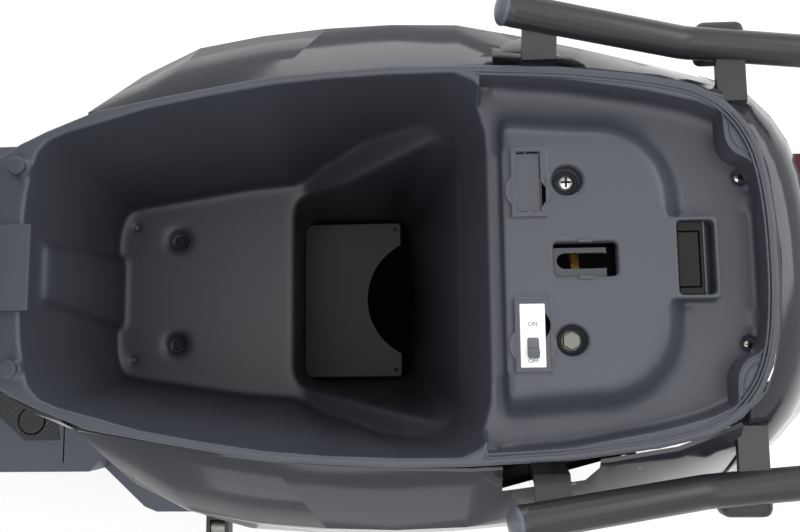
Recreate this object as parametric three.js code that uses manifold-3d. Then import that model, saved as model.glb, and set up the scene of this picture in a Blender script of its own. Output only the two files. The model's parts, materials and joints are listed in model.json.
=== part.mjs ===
// A seated electric scooter, standing on its centre stand with the seat swung open.
// Millimetres. X points forward, Y to the rider's left, Z up. The origin is on the ground,
// under the middle of the scooter.

import * as THREE from 'three';
import { mergeVertices } from 'three/addons/utils/BufferGeometryUtils.js';
import Module from 'manifold-3d';

const wasm = await Module();
wasm.setup();

// General sizes
const overrun = 4;
const gap = 0.3;
const skin = 3;
const roundSides = 32;
const rimSides = 24;
const pipeSides = 10;
const smallSides = 8;
const boreSides = 16;

// The battery's length sets where the front end stands
const batteryRearX = -90;
const batteryLength = 390;
const batteryFrontX = batteryRearX + batteryLength;

// Wheels
const tyreRadius = 216;
const tyreDepth = 88.5;
const tyreWidth = 90;
const tyreFit = 0.9;
const beadRadius = tyreRadius - tyreDepth;
const rearHang = 12;
const flangeHeight = 8.5;
const flangeRadius = beadRadius + flangeHeight;
const flangeWall = 5;
const rimWidth = 66;
const rimWellDepth = 14.5;
const rimWellRadius = beadRadius - rimWellDepth;
const rimWall = 6;
const hubRadius = 30;
const hubWidth = 62;
const axleRadius = 7.5;
const turningFit = 0.5;
const spokeCount = 5;
const spokeWidth = 26;
const spokeDepth = 18;
const motorInset = 15.5;
const motorRadius = beadRadius - motorInset;
const motorWidth = 104;
const motorBossRadius = 30;
const discInset = 23;
const discRadius = rimWellRadius - discInset;
const discInnerRadius = 26;
const discThickness = 4;
const discStandOff = 6;

// Where the down tube runs and the wheels stand
const downTubeRadius = 20;
const downTubeKneeReach = 50;
const downTubeKneeX = batteryFrontX + downTubeKneeReach;
const downTubeKneeZ = 480;
const downTubeFootReach = 34;
const downTubeFootX = batteryFrontX + downTubeFootReach;
const frontTyreRoom = 64;
const frontAxleX = downTubeKneeX + downTubeRadius + tyreRadius + frontTyreRoom;
const swingPivotX = -385;
const swingPivotZ = 304;
const swingPivotRadius = 17;
const rearTyreRoom = 22;
const rearAxleX = swingPivotX - swingPivotRadius - tyreRadius - rearTyreRoom;
const rearAxleZ = tyreRadius + rearHang;

// Steering and front fork
const rakeDegrees = 25;
const forkOffset = 35;
const steererRadius = 14;
const headTubeRadius = 23;
const headTubeBoreFit = 1;
const fenderRoom = 8;
const fenderRadius = tyreRadius + fenderRoom;
const fenderHalfWidth = 54;
const fenderDrop = 34;
const fenderWall = 3;
const fenderStartDegrees = 21;
const fenderEndDegrees = 165;
const braceInnerRadius = fenderRadius + fenderWall + gap;
const braceThickness = 13;
const braceWidth = 30;
const forkTravel = 70;
const crownRoom = 27.7;
const crownStart = braceInnerRadius + braceThickness + forkTravel + crownRoom;
const crownThickness = 26;
const crownOverhang = 20;
const headTubeRoom = 8;
const headTubeStart = crownStart + crownThickness + headTubeRoom;
const headTubeLength = 178;
const stanchionSpacing = 156;
const stanchionRadius = 13;
const stanchionEnd = 95;
const sliderRadius = 19;
const sliderFit = 0.5;
const sliderHeadRoom = 12;
const sliderTop = fenderRadius - sliderHeadRoom;
const sliderFoot = 26;
const caliperLength = 64;
const caliperDepthShare = 4 / 9;
const caliperDepth = discRadius * caliperDepthShare;
const caliperWidth = 44;
const caliperSlot = 8;

// Handlebar
const barCentreZ = 1018;
const barRadius = 11;
const barSweepBack = 64;
const barKinkBack = 16;
const barRise = 24;
const barHalfWidth = 338;
const barStraight = 75;
const barKinkY = 160;
const barDrop = 10;
const stemRadius = 15;
const stemClampRadius = 24;
const stemClampWidth = 60;
const gripLength = 118;
const gripRadius = 16.5;
const gripFlange = 21;
const gripFlangeWidth = 6;
const podLength = 46;
const podRadius = 22;
const leverLength = 178;
const leverReach = 52;
const leverThickness = 9;
const leverPivotRadius = 9;
const leverPerchThickness = 5;
const buttonRadius = 6;
const buttonHeight = 7;
const buttonTravel = 2;
const sliderKnobLength = 12;
const sliderKnobWidth = 6;
const sliderKnobTravel = 4;
const mirrorStemRadius = 5;
const mirrorRise = 172;
const mirrorStemOut = 92;
const mirrorWidth = 142;
const mirrorHeight = 84;
const mirrorDepth = 24;
const mirrorBallRadius = 8;
const cowlWidth = 210;
const cowlLength = 128;
const cowlHeight = 74;

// Frame
const railRadius = 13;
const railHalfSpacing = 140;
const floorRailZ = 290;
const crossTubeRadius = 14;
const railKickX = -170;
const railRiseX = -330;
const railRiseZ = 436;
const railUpperX = -480;
const railUpperZ = 606;
const railUpperHalf = 158;
const railTailX = -640;
const railTailZ = 636;
const railTailHalf = 112;
const railEndX = -700;
const railEndHalf = 98;
const crossTubeX = -615;
const crossTubeZ = 625;
const bellyTubeX = -170;
const tubPostX = -188;
const tubPostY = 70;
const tubPostRadius = 9;
const pivotPlateHalf = 126;
const pivotPlateThickness = 7;
const pivotBoltRadius = 7;
const standPivotX = -330;
const standPivotZ = 250;

// Swingarm, rear axle and shock absorbers
const armHalfSpacing = 86;
const armHeight = 34;
const armThickness = 18;
const armEndHeight = 44;
const axleReach = 14;
const shockHalfSpacing = 124;
const shockTopX = -575;
const shockTopZ = 578;
const shockFootAhead = 28;
const shockFootAbove = 34;
const shockBottomX = rearAxleX + shockFootAhead;
const shockBottomZ = rearAxleZ + shockFootAbove;
const shockEyeRadius = 13;
const shockEyeWidth = 18;
const shockBoltRadius = 5;
const damperRadius = 15;
const damperBoreRadius = 9;
const damperLength = 150;
const damperRodRadius = 6;
const damperWall = 32;
const springSeatRadius = 25;
const springSeatThickness = 5;
const springTopOffset = 24;
const springBottomOffset = 40;
const springRadius = 20.5;
const springWireRadius = 3.2;
const springTurns = 8;
const springStepsPerTurn = 8;
const springSides = 5;
const shockStroke = 52;

// Centre stand
const standFootX = -300;
const standHalfTop = 104;
const standHalfFoot = 128;
const standTubeRadius = 12;
const standLegRadius = 9.5;
const standBraceDistance = 58;
const standPadLength = 44;
const standPadWidth = 24;
const standPadThickness = 8;

// Battery, controller, floorboard, belly pan and front cover
const floorZ = 393;
const floorHalf = 171;
const floorReach = 26;
const floorFrontX = batteryFrontX + floorReach;
const floorRearX = -125;
const skirtBottomZ = 288;
const wingHalf = 217;
const wingTopZ = 350;
const wingBottomZ = 268;
const wingStartX = -85;
const wingFullX = -152;
const wingRearX = -400;
const wingInnerHalf = 162;
const batteryWidth = 236;
const batteryHeight = 132;
const bellyWall = 3;
const bellyBottomZ = 226;
const bellyTopZ = floorRailZ;
const bellyHalf = railHalfSpacing - railRadius - gap;
const batteryBottomZ = bellyBottomZ + bellyWall + gap;
const controllerLength = 150;
const controllerWidth = 2 * (tubPostY - tubPostRadius - gap);
const controllerHeight = 54;
const controllerRearX = -312;
const controllerBottomZ = 392;
const controllerFinCount = 7;
const controllerFinHeight = 12;
const frontCoverTopZ = 673;
const frontCoverFrontX = -70;
const frontCoverRearX = -188;
const frontCoverHalf = 120;

// Leg shield, apron and headlight
const shieldHalf = 192;
const shieldFootReach = 32;
const shieldTopSetBack = 28;
const shieldBottomX = batteryFrontX + shieldFootReach;
const shieldTopX = batteryFrontX - shieldTopSetBack;
const shieldTopZ = 928;
const shieldCornerRadius = 60;
const shieldThickness = 30;
const pocketWidth = 116;
const pocketHeight = 120;
const pocketDepth = 22;
const pocketCentreY = 92;
const pocketBottomZ = 700;
const keyCentreY = -92;
const keyCentreZ = 800;
const keyBarrelRadius = 15;
const keyHeadLength = 22;
const keyHeadWidth = 15;
const keyThickness = 3;
const keyShank = 7;
const apronBottomZ = 560;
const apronNoseReach = 200;
const apronTopReach = 52;
const apronNoseX = batteryFrontX + apronNoseReach;
const apronTopX = batteryFrontX + apronTopReach;
const apronHalf = 186;
const headlightZ = 712;
const headlightRadius = 62;
const headlightDepth = 46;

// Under-seat tub
const rimZ = 690;
const rimFrontX = -130;
const rimLength = 560;
const rimHalf = 142;
const rimFlangeDepth = 12;
const basinFrontX = -161;
const basinRearX = -503;
const basinHalf = 135;
const frontFloorZ = 503;
const pitFloorZ = 395;
const pitFrontX = -317;
const pitRearX = -423;
const pitTopFrontX = -334;
const pitHalf = 80;
const pitTopHalf = 117;
const pitCorner = 14;
const ledgeRearZ = 600;
const ledgeRearX = -473;
const deckZ = 663;
const deckFrontX = -486;
const deckHalf = 132;
const deckRearX = -683;
const platformZ = 682;
const platformHalf = 96;
const platformRearX = -618;
const platformSlope = 14;
const latchHoleFrontX = -539;
const latchHoleRearX = -583;
const latchHoleHalf = 12;
const windowFrontX = -625;
const windowRearX = -650;
const windowHalf = 26;
const windowDepth = 16;
const boltWellX = -550;
const boltWellY = 56.5;
const boltWellRadius = 11;
const boltWellDepth = 12;
const floorWellX = -216.5;
const floorWellY = 48;
const floorWellRadius = 9;
const floorWellDepth = 9;
const deckScrewX = -676;
const deckScrewY = 60;
const deckScrewRadius = 6;
const deckScrewDepth = 6;
const drainX = -177;
const drainY = 61;
const drainRadius = 2;
const blockTopZ = 660;
const blockX = -167;
const blockTopHalf = 21;
const blockFootHalf = 31;
const bufferX = -159;
const bufferY = 72;
const bufferRadius = 6;
const bufferHeight = 12;
const floorPlateThickness = 2;
const floorPlateZ = 398;
const floorPlateFrontX = -318;
const floorPlateRearX = -416;
const floorPlateHalf = 78;
const floorPlateCutHalf = 55;
const floorPlateCutDepth = 34;
const scoopDepth = 9;
const breakerX = -522.5;
const breakerWidth = 17.5;
const breakerY = 53;
const breakerLength = 44;
const breakerTopZ = 683.5;
const breakerDepth = 58;
const breakerFrame = 3;
const breakerFrameHeight = 2;
const toggleY = 60;
const toggleWidth = 8;
const toggleRadius = 8;
const toggleReach = 13;
const toggleLean = 30;
const toggleThickness = 6;
const blankY = -55.5;

// Seat latch
const latchPlateThickness = 3;
const latchPlateHalf = 40;
const latchPlateMargin = 3;
const latchSlotHalf = 5.5;
const latchPinRadius = 3;
const latchPinY = 34;
const latchPinZ = 627;
const latchCheekThickness = 3;
const latchCheekWidth = 14;
const hookThickness = 6;
const hookHeight = 6;
const hookReach = 48;
const hookNose = 8;
const hookEyeRadius = 7;
const hookReleasedDegrees = 5;
const strikerX = -561;
const strikerZ = 636;
const strikerHalf = 10;
const strikerRadius = 4;

// Seat
const hingeX = -118;
const hingeZ = 712;
const hingePinRadius = 4;
const hingeKnuckleRadius = 9;
const hingeBracketHalf = 31;
const hingeBracketThickness = 3.5;
const hingeBracketRearX = -168;
const hingeLugInner = 6;
const hingeLugOuter = 17;
const hingeLugGap = 1;
const seatOpenDegrees = 97;
const seatNoseX = -98;
const seatRearX = -716;
const seatHalf = 147;
const seatPanBottomZ = 694;
const seatPanZ = 702.6;
const seatPanThickness = 5;
const seatPanSkirt = 4;
const seatNoseClearX = -152;
const seatNoseClearZ = 699;
const cushionFit = 0.5;
const riderHeight = 66;
const pillionHeight = 92;
const cushionCrown = 16;

// Side panels and tail
const panelTopGap = 1.5;
const panelRearX = -668;
const panelHalf = 207;
const panelBottomZ = wingTopZ + skin;
const panelTopZ = rimZ - rimFlangeDepth - panelTopGap;
const notchFrontX = -500;
const notchRearX = -567;
const notchFrontY = 160;
const notchRearY = 153;
const notchCorner = 9;
const tailTopZ = 672;
const tailFrontX = -672;
const tailRearX = -758;
const tailHalf = 161;
const tailLightShare = 0.452;
const tailRoom = 44;
const tailLightWidth = 172;
const tailLightHeight = 44;
const tailLightDepth = 30;
const tailLightX = -728;

// Grab rails
const grabRadius = 12;
const grabFrontX = -508;
const grabFrontY = 177;
const grabFrontZ = 700;
const grabBendX = -640;
const grabBendY = 161;
const grabBendZ = 665;
const grabRearX = -790;
const grabRearY = 150;
const grabRearZ = 652;
const grabBracketFrontX = -521;
const grabBracketRearX = -546;
const grabBracketThickness = 6;
const grabRearBracketFrontX = -663;
const grabRearBracketRearX = -684;

// Rear mudguard and pillion footrests
const guardSetBack = 5;
const guardRise = 40;
const guardRoom = 20;
const guardCentreX = rearAxleX - guardSetBack;
const guardCentreZ = rearAxleZ + guardRise;
const guardRadius = tyreRadius + guardRoom;
const guardHalfWidth = 62;
const guardDrop = 30;
const guardWall = 3;
const guardStartDegrees = 38;
const guardEndDegrees = 142;
const guardPostHalf = 11;
const tailBottomZ = guardCentreZ + guardRadius + tailRoom;
const tailLightZ = tailBottomZ + (tailTopZ - tailBottomZ) * tailLightShare;
const plateArmHalf = 44;
const plateArmThickness = 5;
const plateTopDegrees = 137.6;
const plateOverhang = 10;
const plateKneeRise = 89;
const plateKneeHeight = 12;
const plateEndX = rearAxleX - tyreRadius - plateOverhang;
const plateKneeZ = guardCentreZ + plateKneeRise;
const plateEndZ = plateKneeZ - plateKneeHeight;
const pegX = -217;
const pegHalfLength = 33;
const pegOverhang = 17;
const pegPivotY = wingHalf + pegOverhang;
const pegPivotZ = 340;
const pegReach = 60;
const pegThickness = 15;
const pegPinRadius = 4;
const pegEyeRadius = 8;
const pegArmHalf = 12;
const pegArmHeight = 18;
const pegForkGap = 0.6;

// Finishes
const finish = (colour, roughness, metalness) =>
  new THREE.MeshStandardMaterial({ color: colour, roughness, metalness });
const mouldedGrey = finish(0x4b4e57, 0.55, 0);
const glossBlack = finish(0x15161a, 0.12, 0);
const satinBlack = finish(0x24252a, 0.45, 0.2);
const frameBlack = finish(0x1b1c1f, 0.5, 0.3);
const bareAlloy = finish(0xa9acb1, 0.35, 1);
const zincSteel = finish(0xb7b9b4, 0.35, 1);
const yellowZinc = finish(0xb08a3c, 0.35, 1);
const chromeSteel = finish(0xd0d2d6, 0.12, 1);
const blackRubber = finish(0x1d1d1e, 0.9, 0);
const seatVinyl = finish(0x1f1f22, 0.7, 0);
const breakerWhite = finish(0xe9e9e6, 0.4, 0);
const redLens = finish(0xa01218, 0.15, 0);
const clearLens = finish(0xdfe6ea, 0.08, 0);
const batteryBlue = finish(0x2f3d55, 0.6, 0);

// Solids
const vec = (x, y, z) => new THREE.Vector3(x, y, z);
const radians = THREE.MathUtils.degToRad;
const mix = THREE.MathUtils.lerp;

function solidFromArrays(positions, indices) {
  const kept = [];
  let volume = 0;
  const corner = (i) => vec(positions[3 * i], positions[3 * i + 1], positions[3 * i + 2]);
  for (let t = 0; t < indices.length; t += 3) {
    const [a, b, c] = [indices[t], indices[t + 1], indices[t + 2]];
    if (a === b || b === c || c === a) continue;
    kept.push(a, b, c);
    volume += corner(a).dot(corner(b).cross(corner(c)));
  }
  if (volume < 0) kept.reverse();
  return new wasm.Manifold(new wasm.Mesh({
    numProp: 3,
    vertProperties: new Float32Array(positions),
    triVerts: new Uint32Array(kept),
  }));
}

function solidOf(geometry) {
  geometry.deleteAttribute('normal');
  geometry.deleteAttribute('uv');
  const merged = mergeVertices(geometry);
  return solidFromArrays(merged.attributes.position.array, merged.index.array);
}

function geometryOf(solid) {
  const mesh = solid.getMesh();
  const geometry = new THREE.BufferGeometry();
  geometry.setAttribute('position', new THREE.BufferAttribute(mesh.vertProperties, 3));
  geometry.setIndex(new THREE.BufferAttribute(mesh.triVerts, 1));
  geometry.computeVertexNormals();
  return geometry;
}

function moved(solid, matrix) {
  return solidOf(geometryOf(solid).applyMatrix4(matrix));
}

const mirrored = (solid) => moved(solid, new THREE.Matrix4().makeScale(1, -1, 1));
const joined = (first, ...others) => others.reduce((sum, other) => sum.add(other), first);
const cut = (base, ...tools) => tools.reduce((rest, tool) => rest.subtract(tool), base);

function box(low, high) {
  const [a, b] = [vec(...low), vec(...high)];
  const size = b.clone().sub(a);
  const middle = a.clone().add(b).multiplyScalar(1 / 2);
  return solidOf(new THREE.BoxGeometry(size.x, size.y, size.z).translate(...middle));
}

// A box that is the same on both sides of the middle plane.
const middleBox = (x0, x1, halfY, z0, z1) => box([x0, -halfY, z0], [x1, halfY, z1]);

function bar(from, to, radius, sides = pipeSides, farRadius = radius) {
  const axis = to.clone().sub(from);
  const geometry = new THREE.CylinderGeometry(farRadius, radius, axis.length(), sides);
  const turn = new THREE.Quaternion().setFromUnitVectors(vec(0, 1, 0), axis.clone().normalize());
  geometry.applyQuaternion(turn).translate(...from.clone().add(to).multiplyScalar(1 / 2));
  return solidOf(geometry);
}

const crossBar = (x, y0, y1, z, radius, sides) => bar(vec(x, y0, z), vec(x, y1, z), radius, sides);
const uprightBar = (x, y, z0, z1, radius, sides) => bar(vec(x, y, z0), vec(x, y, z1), radius, sides);

// A flat outline given as [x, y] points, raised from z0 to z1.
function slab(points, z0, z1) {
  const shape = new THREE.Shape(points.map(([x, y]) => new THREE.Vector2(x, y)));
  return solidOf(new THREE.ExtrudeGeometry(shape, { depth: z1 - z0, bevelEnabled: false })
    .translate(0, 0, z0));
}

// A side-view outline given as [x, z] points, spread from y0 to y1.
function sideSlab(points, y0, y1) {
  const shape = new THREE.Shape(points.map(([x, z]) => new THREE.Vector2(x, z)));
  return solidOf(new THREE.ExtrudeGeometry(shape, { depth: y1 - y0, bevelEnabled: false })
    .rotateX(Math.PI / 2).translate(0, y1, 0));
}

// A cross-section given as [y, z] points, spread from x0 to x1.
function crossSlab(points, x0, x1) {
  const shape = new THREE.Shape(points.map(([y, z]) => new THREE.Vector2(y, z)));
  const turn = new THREE.Matrix4().makeBasis(vec(0, 1, 0), vec(0, 0, 1), vec(1, 0, 0));
  return solidOf(new THREE.ExtrudeGeometry(shape, { depth: x1 - x0, bevelEnabled: false })
    .applyMatrix4(turn).translate(x0, 0, 0));
}

// A profile of [radius, height] points that closes on itself or ends on the axis.
function turned(profile, at, along, sides = roundSides, closed = true) {
  const points = profile.map(([r, h]) => new THREE.Vector2(r, h));
  if (closed) points.push(points[0].clone());
  const geometry = new THREE.LatheGeometry(points, sides);
  const turn = new THREE.Quaternion().setFromUnitVectors(vec(0, 1, 0), along);
  return solidOf(geometry.applyQuaternion(turn).translate(...at));
}

// A run of pipe through points, with round bends.
class PipeRun extends THREE.Curve {
  constructor(points, bendRadius, bendSteps = 4) {
    super();
    this.stations = [];
    const way = (a, b) => b.clone().sub(a).normalize();
    const last = points.length - 1;
    this.stations.push([points[0], way(points[0], points[1])]);
    for (let i = 1; i < last; i++) {
      const before = way(points[i - 1], points[i]);
      const after = way(points[i], points[i + 1]);
      const turn = before.angleTo(after);
      const start = points[i].clone().addScaledVector(before, -bendRadius * Math.tan(turn / 2));
      const inward = after.clone().addScaledVector(before, -after.dot(before)).normalize();
      for (let s = 0; s <= bendSteps; s++) {
        const a = turn * s / bendSteps;
        const at = start.clone().addScaledVector(before, bendRadius * Math.sin(a))
          .addScaledVector(inward, bendRadius * (1 - Math.cos(a)));
        const heading = before.clone().multiplyScalar(Math.cos(a)).addScaledVector(inward, Math.sin(a));
        this.stations.push([at, heading]);
      }
    }
    this.stations.push([points[last], way(points[last - 1], points[last])]);
  }

  at(share, which, target) {
    const place = share * (this.stations.length - 1);
    const i = Math.min(Math.floor(place), this.stations.length - 2);
    return target.lerpVectors(this.stations[i][which], this.stations[i + 1][which], place - i);
  }

  getPoint(share, target = vec(0, 0, 0)) { return this.at(share, 0, target); }

  getPointAt(share, target = vec(0, 0, 0)) { return this.at(share, 0, target); }

  getTangent(share, target = vec(0, 0, 0)) { return this.at(share, 1, target).normalize(); }

  getTangentAt(share, target = vec(0, 0, 0)) { return this.getTangent(share, target); }
}

function pipe(points, radius, bendRadius, sides = pipeSides, bendSteps = 3) {
  const run = new PipeRun(points, bendRadius, bendSteps);
  const ring = [];
  for (let i = 0; i < sides; i++) {
    const a = 2 * Math.PI * i / sides;
    ring.push(new THREE.Vector2(radius * Math.cos(a), radius * Math.sin(a)));
  }
  return solidOf(new THREE.ExtrudeGeometry(new THREE.Shape(ring), {
    steps: run.stations.length - 1,
    extrudePath: run,
    bevelEnabled: false,
  }));
}

// A closed body skinned over rings of [x, y, z] points, with flat ends.
function loft(rings) {
  const count = rings[0].length;
  const positions = rings.flat(2);
  const indices = [];
  for (let r = 0; r + 1 < rings.length; r++) {
    for (let i = 0; i < count; i++) {
      const j = (i + 1) % count;
      const [a, b] = [r * count + i, r * count + j];
      indices.push(a, b, b + count, a, b + count, a + count);
    }
  }
  const cap = (r, reverse) => {
    const ring = rings[r].map((p) => vec(...p));
    const normal = vec(0, 0, 0);
    ring.forEach((p, i) => normal.add(p.clone().cross(ring[(i + 1) % count])));
    const size = [Math.abs(normal.x), Math.abs(normal.y), Math.abs(normal.z)];
    const drop = size.indexOf(Math.max(...size));
    const flat = ring.map((p) => new THREE.Vector2(...p.toArray().filter((_, k) => k !== drop)));
    const backwards = THREE.ShapeUtils.isClockWise(flat);
    const order = flat.map((_, i) => (backwards ? count - 1 - i : i));
    const faces = THREE.ShapeUtils.triangulateShape(order.map((i) => flat[i]), []);
    for (const face of faces) {
      const [a, b, c] = face.map((k) => r * count + order[k]);
      const up = vec(...rings[r][b - r * count]).sub(ring[a - r * count])
        .cross(vec(...rings[r][c - r * count]).sub(ring[a - r * count])).dot(normal) > 0;
      if (up === reverse) indices.push(a, b, c);
      else indices.push(a, c, b);
    }
  };
  cap(0, false);
  cap(rings.length - 1, true);
  return solidFromArrays(positions, indices);
}

const scooter = new THREE.Group();

function addPiece(name, solid, material, parent = scooter) {
  const mesh = new THREE.Mesh(geometryOf(solid), material);
  mesh.name = name;
  parent.add(mesh);
}

function addPair(name, leftSolid, material) {
  addPiece(`${name}_left`, leftSolid, material);
  addPiece(`${name}_right`, mirrored(leftSolid), material);
}

// Outlines seen from above are half outlines, from front to rear on the left side.
const bothSides = (half) => [...half, ...half.slice().reverse().map(([x, y]) => [x, -y])];

// Moves an open outline sideways by a distance, to its left as it runs.
function offsetLine(line, distance) {
  return line.map((point, i) => {
    const before = line[Math.max(i - 1, 0)];
    const after = line[Math.min(i + 1, line.length - 1)];
    const [dx, dy] = [after[0] - before[0], after[1] - before[1]];
    const length = Math.hypot(dx, dy);
    return [point[0] - distance * dy / length, point[1] + distance * dx / length];
  });
}

// Wheels
const frontAxle = vec(frontAxleX, 0, tyreRadius);
const rearAxle = vec(rearAxleX, 0, rearAxleZ);
const leftward = vec(0, 1, 0);
const rimHalfWidth = rimWidth / 2;
const beadHalf = rimHalfWidth - flangeWall;

function tyre(at) {
  const half = tyreWidth / 2;
  const bead = beadRadius + tyreFit;
  const height = tyreRadius - bead;
  const outerShares = [[0.6, 0], [0.6, 0.14], [0.97, 0.42], [0.93, 0.72], [0.5, 0.97]];
  const innerShares = [[0.44, 0], [0.8, 0.42], [0.56, 0.84]];
  const place = (side) => ([h, r]) => [bead + r * height, side * h * half];
  return turned([
    ...outerShares.map(place(-1)),
    [tyreRadius, 0],
    ...outerShares.map(place(1)).reverse(),
    ...innerShares.map(place(1)),
    ...innerShares.map(place(-1)).reverse(),
  ], at, leftward);
}

function rimBarrel(at) {
  const wellHalfShare = 0.34;
  const wellHalf = wellHalfShare * rimHalfWidth;
  const shoulder = wellHalf + rimWall / 2;
  const outer = [
    [flangeRadius, rimHalfWidth], [flangeRadius, beadHalf], [beadRadius, beadHalf],
    [beadRadius, shoulder], [rimWellRadius, wellHalf],
  ];
  const inner = [[beadRadius - rimWall, rimHalfWidth], [rimWellRadius - rimWall, wellHalf]];
  const other = (points) => points.map(([r, h]) => [r, -h]);
  return turned([...other(outer), ...outer.slice().reverse(), ...inner, ...other(inner).reverse()], at,
    leftward,
    rimSides);
}

const discY = hubWidth / 2 + discStandOff;

function frontWheel() {
  const spokeEnd = rimWellRadius - rimWall / 2;
  const spokeRoot = hubRadius * 2 / 3;
  const tipShare = 0.7;
  const spoke = sideSlab([
    [spokeRoot, -spokeWidth / 2], [spokeEnd, -spokeWidth * tipShare / 2],
    [spokeEnd, spokeWidth * tipShare / 2], [spokeRoot, spokeWidth / 2],
  ], -spokeDepth / 2, spokeDepth / 2);
  let wheel = rimBarrel([0, 0, 0]);
  wheel = wheel.add(crossBar(0, -hubWidth / 2, discY - gap, 0, hubRadius, roundSides));
  for (let i = 0; i < spokeCount; i++) {
    wheel = wheel.add(moved(spoke, new THREE.Matrix4().makeRotationY(2 * Math.PI * i / spokeCount)));
  }
  wheel = wheel.subtract(crossBar(0, -hubWidth, hubWidth, 0, axleRadius + turningFit, roundSides));
  return moved(wheel, new THREE.Matrix4().makeTranslation(frontAxle));
}

function hubMotor() {
  const half = motorWidth / 2;
  const coverShare = 0.86;
  const shoulderShare = 0.62;
  const bossShare = 0.9;
  const side = [
    [axleRadius + turningFit, half], [motorBossRadius, half], [motorBossRadius + rimWall, half * bossShare],
    [motorRadius * coverShare, half * bossShare], [motorRadius, half * shoulderShare + flangeWall],
    [flangeRadius, rimHalfWidth], [flangeRadius, beadHalf], [beadRadius, beadHalf],
    [beadRadius, half / 4], [beadRadius - rimWall, half / 5],
  ];
  const other = side.map(([r, h]) => [r, -h]);
  return turned([...other, ...side.slice().reverse()], rearAxle.toArray(), leftward, rimSides);
}

function axle(at, half) {
  const headRadius = axleRadius * 3 / 2;
  const head = axleRadius;
  const ends = [-1, 1].map((s) => crossBar(at.x, s * (half + gap), s * (half + gap + head), at.z,
    headRadius, 6));
  return joined(crossBar(at.x, -half - head, half + head, at.z, axleRadius), ...ends);
}

addPiece('front_tyre', tyre(frontAxle.toArray()), blackRubber);
addPiece('front_wheel', frontWheel(), satinBlack);
addPiece('front_disc', turned([
  [discInnerRadius, discY], [discRadius, discY],
  [discRadius, discY + discThickness], [discInnerRadius, discY + discThickness],
], frontAxle.toArray(), leftward), zincSteel);
addPiece('rear_tyre', tyre(rearAxle.toArray()), blackRubber);
addPiece('hub_motor', hubMotor(), satinBlack);

// Steering and front fork, drawn upright with the front axle at the origin, then raked
const rake = radians(rakeDegrees);
const forkUp = vec(-Math.sin(rake), 0, Math.cos(rake));
const forkForward = vec(Math.cos(rake), 0, Math.sin(rake));
const forkMatrix = new THREE.Matrix4().makeBasis(forkForward, leftward, forkUp).setPosition(frontAxle);
const onSteeringAxis = (height) => vec(-forkOffset, 0, height).applyMatrix4(forkMatrix);
const fork = new THREE.Group();
fork.applyMatrix4(forkMatrix);
scooter.add(fork);

const legY = stanchionSpacing / 2;
const headTubeEnd = headTubeStart + headTubeLength;
const stemClampLength = stemClampRadius * 2;
const steererEnd = headTubeEnd + stemClampLength;

function forkUpper() {
  const ring = (z0, z1) => {
    const ends = [-1, 1].map((s) => uprightBar(0, s * legY, z0, z1, crownOverhang, roundSides / 2));
    const middle = uprightBar(-forkOffset, 0, z0, z1, headTubeRadius, roundSides / 2);
    const reach = legY + crownOverhang / 2;
    const web = slab([
      [-forkOffset - crownOverhang, -crownOverhang], [-crownOverhang / 2, -reach],
      [crownOverhang / 2, -reach],
      [crownOverhang / 2, reach], [-crownOverhang / 2, reach], [-forkOffset - crownOverhang, crownOverhang],
    ], z0, z1);
    return joined(web, middle, ...ends);
  };
  const legs = [-1, 1].map((s) =>
    uprightBar(0, s * legY, stanchionEnd, crownStart + crownThickness - gap, stanchionRadius,
      roundSides / 2));
  return joined(
    ring(crownStart, crownStart + crownThickness),
    uprightBar(-forkOffset, 0, crownStart + crownThickness / 2, steererEnd, steererRadius, roundSides / 2),
    ...legs,
  );
}

function forkSliders() {
  const sides = roundSides / 2;
  const spacerInner = discY + discThickness + discStandOff / 3;
  const footOuter = legY + sliderRadius;
  const bossRadius = discInnerRadius / 2;
  const halves = [-1, 1].map((s) => joined(
    uprightBar(0, s * legY, 0, sliderTop, sliderRadius, sides),
    crossBar(0, s * spacerInner, s * footOuter, 0, bossRadius, sides),
    crossBar(0, s * (legY - sliderRadius), s * footOuter, 0, sliderFoot - flangeWall, sides),
  ));
  const outer = braceInnerRadius + braceThickness;
  const armInner = legY - sliderRadius + flangeWall / 5;
  const armOuter = legY + stanchionRadius;
  const cornerDrop = fenderDrop / 2;
  const foot = sliderTop - fenderDrop;
  const archHalf = fenderHalfWidth - cornerDrop / 2;
  const brace = crossSlab([
    [-armOuter, foot], [-armOuter, outer - cornerDrop], [-armInner, outer], [armInner, outer],
    [armOuter, outer - cornerDrop], [armOuter, foot], [armInner, foot],
    [armInner - gap, braceInnerRadius - cornerDrop], [archHalf, braceInnerRadius],
    [-archHalf, braceInnerRadius], [-armInner + gap, braceInnerRadius - cornerDrop], [-armInner, foot],
  ], -braceWidth / 2, braceWidth / 2);
  const boreBottom = stanchionEnd - forkTravel - overrun;
  const bores = [-1, 1].map((s) =>
    uprightBar(0, s * legY, boreBottom, outer + overrun, stanchionRadius + sliderFit, sides));
  const axleHole = crossBar(0, -footOuter - overrun, footOuter + overrun, 0, axleRadius + turningFit,
    sides);
  return cut(joined(brace, ...halves), ...bores, axleHole);
}

// A mudguard is a channel section carried round the wheel.
function mudguard(centre, radius, halfWidth, drop, wall, startDegrees, endDegrees) {
  const steps = Math.round((endDegrees - startDegrees) / 12);
  const corner = drop / 3;
  const half = [
    [halfWidth, radius - drop], [halfWidth, radius - corner], [halfWidth - corner, radius + wall],
  ];
  const inner = [
    [halfWidth - wall, radius - drop], [halfWidth - wall, radius - corner - wall / 2],
    [halfWidth - corner - wall / 2, radius],
  ];
  const across = ([y, r]) => [-y, r];
  const section = [
    ...half, ...half.slice().reverse().map(across),
    ...inner.map(across), ...inner.slice().reverse(),
  ];
  const rings = [];
  for (let i = 0; i <= steps; i++) {
    const a = radians(mix(startDegrees, endDegrees, i / steps));
    rings.push(section.map(([y, r]) => [centre.x + r * Math.cos(a), y, centre.z + r * Math.sin(a)]));
  }
  return loft(rings);
}

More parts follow.
